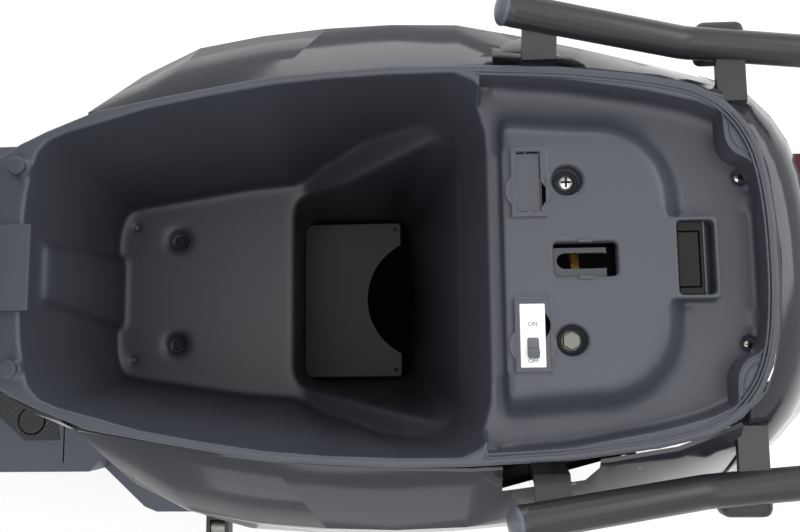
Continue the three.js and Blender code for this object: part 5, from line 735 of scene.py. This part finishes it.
def tube(points, radius, closed=False, sides=10, ends=True):
    """A round wire, bead or tube along points."""
    bpy.ops.curve.primitive_nurbs_path_add()
    curve = bpy.context.object
    curve.data.splines.clear()
    spline = curve.data.splines.new("POLY")
    spline.points.add(len(points) - 1)
    for spot, place in zip(spline.points, points):
        spot.co = (*place, 1)
    spline.use_cyclic_u = closed
    curve.data.bevel_depth = radius
    curve.data.bevel_resolution = max(sides // 2 - 2, 0)
    curve.data.use_fill_caps = ends and not closed
    bpy.ops.object.convert(target="MESH")
    apply_place()
    return bpy.context.object


# Each spring is one chromed wire, wound closer towards its two ends.
spring_turns = 8
spring_steps = 40
spring_wire = 0.0032
spring_radius = 0.0205
shock_top = Vector((-0.575, 0.124, 0.578))
shock_bottom = Vector((-0.612, 0.124, 0.262))
for side, name in left_and_right:
    node = "shock_spring_" + name
    low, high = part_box(node)
    way = (shock_top - shock_bottom).normalized()
    across = Vector((0, 1, 0))
    beside = way.cross(across)
    reach = [(z - shock_bottom.z) / way.z for z in (low[2], high[2])]
    start = reach[0] + spring_wire + spring_radius * abs(beside.z)
    end = reach[1] - spring_wire - spring_radius * abs(beside.z)
    coil = []
    for i in range(spring_turns * spring_steps + 1):
        share = i / (spring_turns * spring_steps)
        angle = 2 * math.pi * spring_turns * share
        flat = 0.5 - 0.5 * math.cos(math.pi * share)
        along = start + (end - start) * (0.15 * flat + 0.85 * share)
        place = shock_bottom + way * along
        place += (across * math.cos(angle) + beside * math.sin(angle)) * spring_radius
        coil.append((place.x, side * place.y, place.z))
    spring = tube(coil, spring_wire, sides=12)
    settle(spring, node + "_finished", polished_chrome, 60, body="shock_uppers")
    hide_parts(node)
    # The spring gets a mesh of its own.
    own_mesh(spring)

# Under-seat tub
# One injection moulding in charcoal polypropylene, textured by the spark-eroded mould, with broad
# radii between its floors, ledges and walls, and crisp edges round what is set into its deck.


def normals(mesh):
    way = np.empty(len(mesh.vertices) * 3)
    mesh.vertex_normals.foreach_get("vector", way)
    return way.reshape(-1, 3)


def soften(piece, weights, rounds):
    """Moves each vertex towards its neighbours' middle, by its weight."""
    mesh = piece.data
    count = len(mesh.vertices)
    place = coordinates(mesh)
    pairs = np.empty(len(mesh.edges) * 2, int)
    mesh.edges.foreach_get("vertices", pairs)
    first, second = pairs[0::2], pairs[1::2]
    degree = np.bincount(first, minlength=count) + np.bincount(second, minlength=count)
    share = (weights(place) * 0.6)[:, None]
    for _ in range(rounds):
        total = np.stack([
            np.bincount(first, place[second, k], count) + np.bincount(second, place[first, k], count)
            for k in range(3)
        ], 1)
        place = place + share * (total / degree[:, None] - place)
    set_coordinates(mesh, place)


tub_voxel = 0.0013
tub_faces = 188000
deck_height = 0.663
rim_height = 0.690
deck_front = -0.494
pit_floor = 0.402


def crisp_softness(place):
    """A light, even smoothing that only takes the voxel steps out."""
    return np.full(len(place), 0.7)


def bay_softness(place):
    """Full softening inside the bays, none on the deck, the rim or the outside."""
    x, y, z = place.T
    in_bay = np.clip((x - deck_front - 0.003) / 0.008, 0, 1)
    below_rim = np.clip((rim_height - 0.004 - z) / 0.008, 0, 1)
    above_pit = np.clip((z - pit_floor) / 0.02, 0.04, 1)
    return in_bay * below_rim * above_pit


def deck_softness(place):
    """Rounds the slopes between the deck's levels, clear of its wells, window and rim."""
    x, y, z = place.T
    wide = np.abs(y)
    slopes = (x < -0.498) & ((wide > 0.078) | ((x < -0.590) & (wide > 0.034)))
    screw = np.hypot(x + 0.676, wide - 0.06) < 0.012
    below_rim = np.clip((rim_height - 0.002 - z) / 0.006, 0, 1)
    above_skirt = np.clip((z - 0.655) / 0.004, 0, 1)
    return slopes * ~screw * below_rim * above_skirt


tub = merged_copy("underseat_tub")
remesh = tub.modifiers.new("fine skin", "REMESH")
remesh.mode = "VOXEL"
remesh.voxel_size = tub_voxel
apply_modifiers(tub)
soften(tub, crisp_softness, 5)
soften(tub, bay_softness, 46)
soften(tub, deck_softness, 60)
thin = tub.modifiers.new("thinning", "DECIMATE")
thin.ratio = min(1.0, tub_faces / (2 * len(tub.data.polygons)))
apply_modifiers(tub)
bpy.ops.object.shade_smooth()
# Charcoal polypropylene with a fine mould texture: satin, with a soft broad sheen on the radii.
# Low down in the bays the colour is painted darker with height, to near black at the pit: painted shade.
tub_grain = 0.0009
tub_plastic, tree, place = new_material("textured charcoal polypropylene")
height = add_node(tree, "ShaderNodeSeparateXYZ", {"Vector": place})
# Painted shade: from 0.62 m down to 0.40 m the colour darkens to near black.
painted_pit_shade = add_node(tree, "ShaderNodeMapRange", {
    "Value": height.outputs["Z"], "From Min": 0.40, "From Max": 0.62, "To Min": 0.0, "To Max": 1.0,
})
flow = noise(tree, place, 9.0, 4.0)
upper = two_tone(tree, flow, linear("#3b3e45"), linear("#42454d"))
tone = two_tone(tree, painted_pit_shade.outputs["Result"], linear("#08080a"), upper)
grain = noise(tree, place, 1 / tub_grain, 3.0)
bump = bumped(tree, grain, 0.00005, 0.8)
rough = spread(tree, flow, 0.37, 0.48)
surface(tree, Base_Color=tone, Roughness=rough, IOR=1.49, Normal=bump)
settle(tub, "tub_moulding", tub_plastic, 70)
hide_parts("underseat_tub")

# A loose black plate lies on the pit's floor, with a round bay cut out of its rear edge.
plate_black = moulded_plastic("black polypropylene plate", "#101113", 0.6)
plate_low, plate_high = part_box("tub_floor_plate")
cut_half = 0.055
cut_depth = 0.034
cut_radius = (cut_half ** 2 + cut_depth ** 2) / (2 * cut_depth)
cut_sweep = math.asin(cut_half / cut_radius)
plate_corner = 0.005
floor_cut = [
    (plate_low[0] + cut_depth - cut_radius * (1 - math.cos(t)), -cut_radius * math.sin(t))
    for t in np.linspace(cut_sweep, -cut_sweep, 33)
]
floor_plate = plate([
    (plate_high[0], plate_low[1] + plate_corner), (plate_high[0], plate_high[1] - plate_corner),
    (plate_high[0] - plate_corner, plate_high[1]), (plate_low[0] + 0.002, plate_high[1]),
    (plate_low[0], plate_high[1] - 0.002),
] + floor_cut[::-1] + [
    (plate_low[0], plate_low[1] + 0.002), (plate_low[0] + 0.002, plate_low[1]),
    (plate_high[0] - plate_corner, plate_low[1]),
], plate_low[2], plate_high[2], 0.0005)
settle(floor_plate, "tub_floor_plate_finished", plate_black)
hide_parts("tub_floor_plate")

# Under the plate and behind it the pit's floor drops away into a recess, drawn as a flat near-black sheet:
# painted shade.
recess_shade_sheet = plate([
    (-0.3765, -0.077), (-0.3765, 0.077), (-0.4225, 0.077), (-0.4225, 0.045), (-0.4300, 0.022),
    (-0.4300, -0.022), (-0.4225, -0.045), (-0.4225, -0.077),
], plate_low[2] - 0.0018, plate_low[2] - 0.0005, 0.0003)
settle(recess_shade_sheet, "pit_recess_painted_shade", shadow_gap)


def outline_of(node, height, reach=0.0012):
    """The outermost edge of a CAD solid at one height, as a closed convex line of points."""
    mesh = frame["nodes"][node].data
    spots = {
        (round(v.co.x, 5), round(v.co.y, 5)) for v in mesh.vertices if abs(v.co.z - height) < reach
    }
    spots = sorted(spots)

    def half(line):
        kept = []
        for x, y in line:
            while len(kept) > 1 and (
                (kept[-1][0] - kept[-2][0]) * (y - kept[-2][1])
                - (kept[-1][1] - kept[-2][1]) * (x - kept[-2][0])
            ) <= 0:
                kept.pop()
            kept.append((x, y))
        return kept[:-1]

    return half(spots) + half(spots[::-1])


def inset_line(outline, distance):
    """A closed convex line moved inwards by a distance."""
    count = len(outline)
    moved = []
    for i in range(count):
        before, here, after = (Vector(outline[(i + k) % count]) for k in (-1, 0, 1))
        first = (here - before).normalized()
        second = (after - here).normalized()
        inward = (Vector((-first.y, first.x)) + Vector((-second.y, second.x))).normalized()
        moved.append(here + inward * distance)
    return moved


def resampled(line, step, closed=False):
    """A line with its points set evenly, a step apart."""
    line = [Vector(p) for p in line]
    if closed:
        line.append(line[0])
    lengths = [0.0]
    for a, b in zip(line, line[1:]):
        lengths.append(lengths[-1] + (b - a).length)
    count = max(2, round(lengths[-1] / step))
    points = []
    i = 0
    for n in range(count + (0 if closed else 1)):
        target = lengths[-1] * n / count
        while i < len(lengths) - 2 and lengths[i + 1] < target:
            i += 1
        share = (target - lengths[i]) / max(lengths[i + 1] - lengths[i], 1e-9)
        points.append(line[i].lerp(line[i + 1], min(share, 1)))
    return points


# Two fine lips run round the rim's top behind the bays, moulded to seat a seal.
rim_outline = outline_of("underseat_tub", rim_height)
lip_radius = 0.0009
for number, distance in enumerate((0.0052, 0.0076)):
    ring = resampled(inset_line(rim_outline, distance), 0.004, closed=True)
    for _ in range(12):
        ring = [(ring[i - 1] + ring[i] * 2 + ring[(i + 1) % len(ring)]) / 4 for i in range(len(ring))]
    start = min(range(len(ring)), key=lambda i: (ring[i].x < -0.486, ring[i].x))
    behind = [p for p in ring[start:] + ring[:start] if p.x < -0.486]
    turn_at = max(range(1, len(behind)), key=lambda i: (behind[i] - behind[i - 1]).length)
    if (behind[turn_at] - behind[turn_at - 1]).length > 0.02:
        behind = behind[turn_at:] + behind[:turn_at]
    lip = tube([(p.x, p.y, rim_height - 0.0001) for p in behind], lip_radius, sides=8)
    settle(lip, "tub_rim_lip_" + str(number + 1), tub_plastic, 60)

# Two raised frames beside the latch: the left one holds the breaker, the right one is blanked.
platform_height = 0.682
frame_top = 0.6846
frame_x = -0.5225
frame_short = 0.0245
frame_long = 0.0506
frame_rail = 0.0028
clip_radius = 0.0135
clip_inset = 0.0092
frame_places = ((0.053, "breaker"), (-0.0555, "blank"))
for middle_y, name in frame_places:
    low = (frame_x - frame_short / 2, middle_y - frame_long / 2, platform_height - 0.001)
    high = (frame_x + frame_short / 2, middle_y + frame_long / 2, frame_top)
    piece = block(low, high, 0.0007)
    only(piece)
    bpy.ops.object.mode_set(mode="EDIT")
    bpy.ops.mesh.select_all(action="DESELECT")
    bpy.ops.mesh.select_mode(type="FACE")
    bpy.ops.object.mode_set(mode="OBJECT")
    top = max(piece.data.polygons, key=lambda face: (round(face.center.z, 5), face.area))
    top.select = True
    bpy.ops.object.mode_set(mode="EDIT")
    bpy.ops.mesh.inset(thickness=frame_rail)
    bpy.ops.mesh.extrude_region_move(TRANSFORM_OT_translate={"value": (0, 0, -0.002)})
    bpy.ops.mesh.select_all(action="DESELECT")
    bpy.ops.object.mode_set(mode="OBJECT")
    settle(piece, name + "_frame", tub_plastic)
    # Spring clips bow out at the frame's middle, on both long sides.
    clips = []
    for side in (1, -1):
        x = frame_x + side * frame_short / 2
        bpy.ops.mesh.primitive_cylinder_add(
            vertices=40, radius=clip_radius, depth=0.0034,
            location=(x - side * clip_inset, middle_y + 0.0065, platform_height + 0.0012),
        )
        clip = bpy.context.object
        cut_off(clip, (x - side * 0.0004, 0, 0), (-side, 0, 0))
        apply_place()
        break_edges(clip, 0.0005)
        clips.append(clip)
    settle(joined(clips), name + "_clips", tub_plastic)

# Thin open slits round the blanking piece, and the half-moon where its clip has sprung away, drawn as
# near-black pieces laid on it: painted shade.
blank_y = frame_places[1][0]
slit_z = frame_top - 0.002 + 0.0001
slit_low = slit_z - 0.0002
slit_high = slit_z + 0.0002
inner_x = frame_short / 2 - frame_rail
inner_y = frame_long / 2 - frame_rail
slits = [
    block((frame_x + x0, blank_y + y0, slit_low), (frame_x + x1, blank_y + y1, slit_high), 0.00005)
    for x0, x1, y0, y1 in (
        (inner_x - 0.0013, inner_x, -inner_y * 0.9, -inner_y * 0.45),
        (inner_x - 0.0013, inner_x, -inner_y * 0.35, inner_y * 0.1),
        (inner_x - 0.0013, inner_x, inner_y * 0.65, inner_y * 0.95),
        (-inner_x, -inner_x + 0.0016, -inner_y * 0.85, -inner_y * 0.1),
        (-inner_x, inner_x * 0.1, -inner_y, -inner_y + 0.0021),
        (inner_x * 0.25, inner_x, -inner_y, -inner_y + 0.0021),
        (-inner_x, -inner_x * 0.25, inner_y - 0.0014, inner_y),
        (inner_x * 0.1, inner_x, inner_y - 0.0014, inner_y),
    )
]


def half_moon(x, y, bulge, low):
    """A thin dark half-moon that stands on the line from x, y and bulges to the rear."""
    moon = [
        (x - bulge * math.sin(math.pi * i / moon_steps), y + moon_length * i / moon_steps)
        for i in range(moon_steps + 1)
    ]
    return plate(moon, low, frame_top + 0.0001, 0.00005)


moon_steps = 12
moon_length = 0.018
slits.append(half_moon(frame_x - inner_x + 0.0004, blank_y + 0.0005, 0.0042, slit_z - 0.0001))
settle(joined(slits), "blank_frame_slits", shadow_gap)

# The breaker stands in its frame: a white urea case with a grey rocker, and ON and OFF beside it.
white_plastic = moulded_plastic("white urea moulding", "#e6e6e3", 0.34)
breaker_low, breaker_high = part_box("breaker_body")
breaker = block(breaker_low, (breaker_high[0], breaker_high[1], frame_top + 0.0006), 0.0007)
settle(breaker, "breaker_body_finished", white_plastic)
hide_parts("breaker_body")
toggle_grey = moulded_plastic("grey nylon rocker", "#55585e", 0.45)
dress("breaker_toggle", toggle_grey, edge=0.0012)
# The open gap beside the breaker and the half-moon at its clip are near-black pieces: painted shade.
gap = block(
    (breaker_low[0] - 0.0014, breaker_low[1] - 0.0028, frame_top - 0.0019),
    (breaker_high[0] + 0.0004, breaker_low[1] - 0.0002, frame_top - 0.0016), 0.0001,
)
moon = half_moon(breaker_low[0] - 0.0001, breaker_low[1] + 0.006, 0.0036, frame_top - 0.0019)
settle(joined([gap, moon]), "breaker_frame_gaps", shadow_gap)
ink = moulded_plastic("black printing ink", "#1a1a1c", 0.5)
letter_height = 0.0042
for word, y in (("ON", 0.0452), ("OFF", 0.0705)):
    bpy.ops.object.text_add(location=(0, 0, 0))
    mark = bpy.context.object
    mark.data.body = word
    mark.data.size = letter_height
    mark.data.align_x = "CENTER"
    mark.data.align_y = "CENTER"
    mark.data.extrude = 0.00008
    bpy.ops.object.convert(target="MESH")
    mark = bpy.context.object
    mark.rotation_euler = (0, 0, math.pi)
    mark.location = (frame_x, y, frame_top + 0.0006)
    apply_place()
    settle(mark, "breaker_mark_" + word, ink)

# Bolts and screws in the tub's wells: a zinc pan-head with a cross recess on the right of the
# deck, a hexagon head on the left, black socket screws in the front floor, small cross-heads aft.
# Black oxide steel for the dark screws and washers; the same dark metal also stands as painted shade in the
# cross recesses.
black_oxide_and_recess_shade = metal_surface("black oxide steel and painted recess shade", "#26272a", 0.38)
sage_zinc = metal_surface("green passivated zinc", "#6c6f68", 0.42)


def cross_head(radius, height, place, recess):
    """A domed screw head, with two crossed bars laid in its crown for its cross recess; they take a dark
    material as painted shade.
    """
    bpy.ops.mesh.primitive_uv_sphere_add(segments=36, ring_count=18, radius=radius, location=place)
    head = bpy.context.object
    head.scale = (1, 1, height / radius)
    cut_off(head, place, (0, 0, -1))
    apply_place()
    if not recess:
        return head, []
    x, y, z = place
    arm, wide = radius * 0.55, radius * 0.13
    top = z + height * 1.02
    bars = [
        block((x - arm, y - wide, top - height * 0.28), (x + arm, y + wide, top), wide * 0.3),
        block((x - wide, y - arm, top - height * 0.28), (x + wide, y + arm, top), wide * 0.3),
    ]
    return head, bars


bolt_well_x = -0.55
bolt_well_y = 0.0565
bolt_well_floor = 0.670
washer_top = bolt_well_floor + 0.0013
washer = round_head(0.0088, 0.0014, (bolt_well_x, -bolt_well_y, bolt_well_floor), sides=40)
settle(washer, "tub_bolt_washer_right", black_oxide_and_recess_shade, 40)
head, recess = cross_head(0.0068, 0.0036, (bolt_well_x, -bolt_well_y, washer_top), True)
settle(head, "tub_bolt_right", bright_zinc, 40)
# The cross recess is painted shade: dark bars on the zinc crown.
settle(joined(recess), "tub_bolt_recess_right", black_oxide_and_recess_shade)
washer = round_head(0.0092, 0.0014, (bolt_well_x, bolt_well_y, bolt_well_floor), sides=40)
flange = round_head(0.0071, 0.0012, (bolt_well_x, bolt_well_y, washer_top), sides=40)
hexagon = round_head(0.0066, 0.0048, (bolt_well_x, bolt_well_y, washer_top + 0.0011), sides=6, edge=0.0006)
settle(washer, "tub_bolt_washer_left", black_oxide_and_recess_shade, 40)
settle(joined([flange, hexagon]), "tub_bolt_left", sage_zinc, 30)

floor_well_x = -0.2165
floor_well_y = 0.048
floor_well_floor = 0.494
deck_screw_x = -0.676
deck_screw_y = 0.06
deck_screw_floor = 0.657
plate_top = 0.4
for side, name in left_and_right:
    place = (floor_well_x, side * floor_well_y, floor_well_floor)
    collar = round_head(0.0072, 0.0012, place, sides=36)
    nut = round_head(0.0046, 0.0042, place, sides=6, edge=0.0005)
    settle(joined([collar, nut]), "tub_floor_screw_" + name, black_oxide_and_recess_shade, 30)
    place = (deck_screw_x, side * deck_screw_y, deck_screw_floor)
    head, recess = cross_head(0.0042, 0.0026, place, True)
    settle(head, "deck_screw_" + name, bright_zinc, 40)
    # The cross recess is painted shade: dark bars on the zinc crown.
    settle(joined(recess), "deck_screw_recess_" + name, black_oxide_and_recess_shade)
    head, recess = cross_head(0.0019, 0.0011, (-0.4105, side * 0.0715, plate_top), False)
    settle(head, "floor_plate_screw_" + name, black_oxide_and_recess_shade, 40)

# A ribbed black box fills the front of the lock window: black nylon, coloured darker still as painted shade
# for its place down in the window.
window_box = block((-0.643, -0.0256, 0.6655), (-0.6256, 0.0256, 0.6785), 0.0006)
window_lip = block((-0.6438, -0.0256, 0.6655), (-0.6428, 0.0256, 0.6792), 0.0003)
lock_box_black_and_shade = moulded_plastic("black nylon lock box with painted shade", "#060607", 0.8)
settle(window_box, "lock_window_box", lock_box_black_and_shade)
settle(window_lip, "lock_window_lip", tub_plastic)
# The slits round the box are near-black strips laid on it: painted shade.
slits = [
    block((-0.6405, y - 0.0006, 0.6783), (-0.6258, y + 0.0006, 0.6787), 0.00008)
    for y in (-0.0185, 0.0205)
]
slits.append(block((-0.6408, -0.0185, 0.6783), (-0.6396, 0.0205, 0.6787), 0.00008))
settle(joined(slits), "lock_window_slits", shadow_gap)

# Small moulded tabs at the middle of the latch opening's long sides.
tab_low = (-0.5665, 0.0118, platform_height - 0.004)
tab_high = (-0.5555, 0.0142, platform_height + 0.0007)
tabs = [side_block(side, tab_low, tab_high, 0.0006) for side in (1, -1)]
settle(joined(tabs), "latch_opening_tabs", tub_plastic)
# Near-black strips along the latch plate's edges stand for the open gap round it: painted shade.
plate_gaps = [
    block((-0.583, -0.012, 0.6729), (-0.5768, 0.012, 0.6733), 0.0001),
    block((-0.583, -0.012, 0.6729), (-0.539, -0.0092, 0.6733), 0.0001),
]
settle(joined(plate_gaps), "latch_plate_gaps", shadow_gap)

# The deck's two rear corners are filled in level with the rim behind an S-shaped edge, with a
# double rib along it.
corner_curve = [
    (-0.6497, 0.1092), (-0.6542, 0.1047), (-0.6577, 0.0981), (-0.6582, 0.0902), (-0.6588, 0.0823),
    (-0.6612, 0.0758), (-0.6654, 0.0711), (-0.6720, 0.0677), (-0.6762, 0.0637), (-0.6795, 0.0576),
    (-0.6822, 0.0490),
]
pad_top = 0.6885


def smooth_line(points, count):
    """A Catmull-Rom line through points."""
    ends = [points[0]] + list(points) + [points[-1]]
    line = []
    for i in range(len(points) - 1):
        a, b, c, d = (np.array(ends[i + k]) for k in range(4))
        for t in np.linspace(0, 1, count, endpoint=False):
            line.append(
                0.5 * (2 * b + (c - a) * t + (2 * a - 5 * b + 4 * c - d) * t ** 2
                       + (3 * b - a - 3 * c + d) * t ** 3)
            )
    return line + [np.array(points[-1])]


for side, name in left_and_right:
    edge_line = [(x, side * y) for x, y in smooth_line(corner_curve, 6)]
    outer = [
        p for p in resampled(inset_line(rim_outline, 0.004), 0.004, closed=True)
        if corner_curve[-1][0] - 0.004 < p.x < corner_curve[0][0] and p.y * side > corner_curve[-1][1]
    ]
    outer.sort(key=lambda p: p.x)
    around = edge_line + [(p.x, p.y) for p in outer]
    if side > 0:
        around = around[::-1]
    filler = plate(around, deck_height - 0.001, pad_top, 0.0012)
    ribs = [filler]
    for shift, radius in ((0.0010, 0.0011), (0.0056, 0.0009)):
        line = [(x - shift * 0.75, y + side * shift * 0.66, pad_top) for x, y in edge_line]
        ribs.append(tube(line, radius, sides=8))
    settle(joined(ribs), "deck_corner_" + name, tub_plastic, 40)

# Seat hinge, buffers and latch
# A pressed steel hinge plate is screwed to the tub's front edge between two rubber buffers. The
# latch is a steel box with a yellow zinc hook that swings over the seat's striker; its steel is
# coloured dark as painted shade, for its place deep under the latch opening.
hinge_steel = powder_coat("charcoal powder coat", "#454951", 0.4)
dress("seat_hinge_bracket", hinge_steel)
# Painted shade: the latch box's steel is coloured dark for its place under the opening.
latch_steel_painted_shade = metal_surface("dark steel with painted shade", "#4a4b4e", 0.42)
dress("latch_housing", latch_steel_painted_shade)
yellow_zinc = metal_surface("yellow passivated zinc", "#cf9f4a", 0.26)
dress("latch_hook", yellow_zinc, edge=0.0012)
bumper_rubber = moulded_plastic("grey bumper rubber", "#3d4148", 0.6, grain=0.0012, depth=0.0001)
buffer_radius = 0.0066
buffer_height = 0.0042
buffer_x = -0.159
buffer_y = 0.072
buffer_foot = 0.6981
for side, name in left_and_right:
    place = (buffer_x, side * buffer_y, buffer_foot)
    cap = round_head(buffer_radius, buffer_height, place, sides=32, edge=0.0016)
    settle(cap, "seat_buffer_" + name, bumper_rubber, 50)

# Side panels, tail and lamps
# Lacquered ABS mouldings clip over the frame rails, their long edges tucked under the tub's rim.
# The tail closes them round a red lamp.
for node in ("side_panel_left", "side_panel_right", "seat_front_cover", "tail_cover"):
    skin(node, panel_gloss)
# Smoked red acrylic over the tail lamp: a hard gloss over a dark tint.
red_lens = clear_lens("smoked red acrylic lens", "#451318", 0.08)
dress("tail_light", red_lens, edge=0.002)

# Rear indicators: an amber lens in a black shell below each grab rail.
amber_lens = clear_lens("amber acrylic lens", "#d2791b", 0.1)
for side, name in left_and_right:
    shell = side_block(side, (-0.687, 0.150, 0.638), (-0.652, 0.180, 0.660), 0.006, segments=4)
    settle(shell, "indicator_shell_" + name, satin_moulding, 50)
    lens = side_block(side, (-0.6885, 0.153, 0.641), (-0.682, 0.177, 0.655), 0.003, segments=4)
    settle(lens, "indicator_lens_" + name, amber_lens, 50)

# Grab rails
# Bent steel tube under a charcoal powder coat, closed by domed plastic caps and bolted through
# flat brackets to the frame.
rail_coat = powder_coat("charcoal satin powder coat", "#292a2d", 0.34)
cap_grey = moulded_plastic("blue-grey tube cap", "#50555e", 0.38)
for side, name in left_and_right:
    dress("grab_rail_" + name, rail_coat, edge=0.0008, smooth=45)
rail_radius = 0.012
rail_front = Vector((-0.508, 0.177, 0.700))
rail_bend = Vector((-0.640, 0.161, 0.665))
rail_way = (rail_front - rail_bend).normalized()
for side, name in left_and_right:
    way = Vector((rail_way.x, side * rail_way.y, rail_way.z))
    place = Vector((rail_front.x, side * rail_front.y, rail_front.z))
    bpy.ops.mesh.primitive_uv_sphere_add(segments=40, ring_count=20, radius=rail_radius * 1.03)
    cap = bpy.context.object
    cut_off(cap, (0, 0, -0.002), (0, 0, -1))
    cap.scale = (1, 1, 0.5)
    cap.rotation_euler = way.to_track_quat("Z", "Y").to_euler()
    cap.location = place + way * 0.0005
    settle(cap, "rail_cap_" + name, cap_grey, 60)

# Footrests
# Folding pillion pegs: castings in worn bare aluminium, with a row of grip ribs across each pad.
cast_alloy = metal_surface("worn cast aluminium", "#8d8c87", 0.46, grain=0.004, depth=0.0004)
pad_inner = 0.25
for node, side in (("footrest_left", 1), ("footrest_right", -1)):
    dress(node, cast_alloy, edge=0.0015)
    low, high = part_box(node)
    pad_outer = max(abs(low[1]), abs(high[1]))
    ribs = []
    rib_count = 6
    for i in range(rib_count):
        y = side * (pad_inner + (pad_outer - pad_inner) * (i + 0.5) / rib_count)
        ribs.append(block(
            (low[0] + 0.005, y - 0.0012, high[2] - 0.001), (high[0] - 0.005, y + 0.0012, high[2] + 0.0012),
            0.0006,
        ))
    settle(joined(ribs), node + "_ribs", cast_alloy, body=body_of_node[node])

# Seat
# A moulded polypropylene pan carries a foam pad in grained vinyl, tacked under the pan's rim, with
# welded cross channels for rider and passenger.
dress("seat_pan", satin_moulding, edge=0.001)
dress("seat_striker", bright_zinc)
vinyl, tree, place = new_material("grained black vinyl")
pebble = add_node(tree, "ShaderNodeTexVoronoi", {"Vector": place, "Scale": 1 / 0.0016})
sag = noise(tree, place, 16.0, 4.0)
tone = two_tone(tree, sag, linear("#141517"), linear("#1f2022"))
rough = spread(tree, sag, 0.44, 0.6)
bump = bumped(tree, pebble.outputs["Distance"], 0.00022, 0.7)
surface(tree, Base_Color=tone, Roughness=rough, IOR=1.5, Normal=bump)

pad_voxel = 0.005
pad_pressure = 4.0
pad_frames = 20
pad_shrink = 0.006
pad_reach = 0.011
hinge = np.array((-0.118, 0, 0.712))
along_seat = np.array((0.1219, 0, 0.9925))
seat_up = np.array((0.9925, 0, -0.1219))
pad = merged_copy("seat_cushion")
remesh = pad.modifiers.new("even skin", "REMESH")
remesh.mode = "VOXEL"
remesh.voxel_size = pad_voxel
apply_modifiers(pad)
soften(pad, crisp_softness, 8)
start = coordinates(pad.data) - normals(pad.data) * pad_shrink
set_coordinates(pad.data, start)
cloth = pad.modifiers.new("foam and vinyl", "CLOTH")
cloth.settings.use_pressure = True
cloth.settings.uniform_pressure_force = pad_pressure
cloth.settings.effector_weights.gravity = 0
cloth.settings.quality = 5
cloth.point_cache.frame_start = 1
cloth.point_cache.frame_end = pad_frames
for step in range(1, pad_frames + 1):
    bpy.context.scene.frame_set(step)
apply_modifiers(pad)
bpy.context.scene.frame_set(1)
swollen = coordinates(pad.data)
moved = swollen - start
reach = np.linalg.norm(moved, axis=1, keepdims=True)
moved *= np.minimum(1, pad_reach / np.maximum(reach, 1e-9))
set_coordinates(pad.data, start + moved)
# The pan side stays flat on its pan.
place = coordinates(pad.data)
from_hinge = place - hinge
up = from_hinge @ seat_up
cad_place = coordinates(frame["nodes"]["seat_cushion"].data)
cad_up = (cad_place - hinge) @ seat_up
floor_up = cad_up.min()
place += np.outer(np.maximum(floor_up - up, 0), seat_up)
set_coordinates(pad.data, place)
fine = pad.modifiers.new("smooth skin", "SUBSURF")
fine.levels = 1
fine.render_levels = 1
apply_modifiers(pad)

# Cross channels are pressed into the top where the vinyl is welded down to the foam.
rider_channels = [0.10, 0.14, 0.18, 0.22]
passenger_channels = [0.385, 0.43, 0.475, 0.52]
channel_depth = 0.0045
channel_width = 0.0035
channel_half = 0.108
channel_bow = 1.4
border_half = 0.110
place = coordinates(pad.data)
way = normals(pad.data)
along = (place - hinge) @ along_seat
facing = np.clip((way @ seat_up - 0.35) / 0.4, 0, 1)
across = np.abs(place[:, 1])
inside = np.clip((channel_half - across) / 0.012, 0, 1)
pressed = np.zeros(len(place))
for spot in rider_channels + passenger_channels:
    bowed = along - spot - channel_bow * across ** 2
    pressed = np.maximum(pressed, np.exp(-(bowed / channel_width) ** 2))
border = np.exp(-((across - border_half) / channel_width) ** 2)
reach = np.clip((along - 0.07) / 0.01, 0, 1) * np.clip((0.56 - along) / 0.01, 0, 1)
pressed = np.maximum(pressed * inside, border) * facing * reach
set_coordinates(pad.data, place - way * (pressed * channel_depth)[:, None])
settle(pad, "seat_pad", vinyl, 70, body="seat")
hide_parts("seat_cushion")

# The ignition key stands in its lock.
dress("ignition_key", bright_zinc)
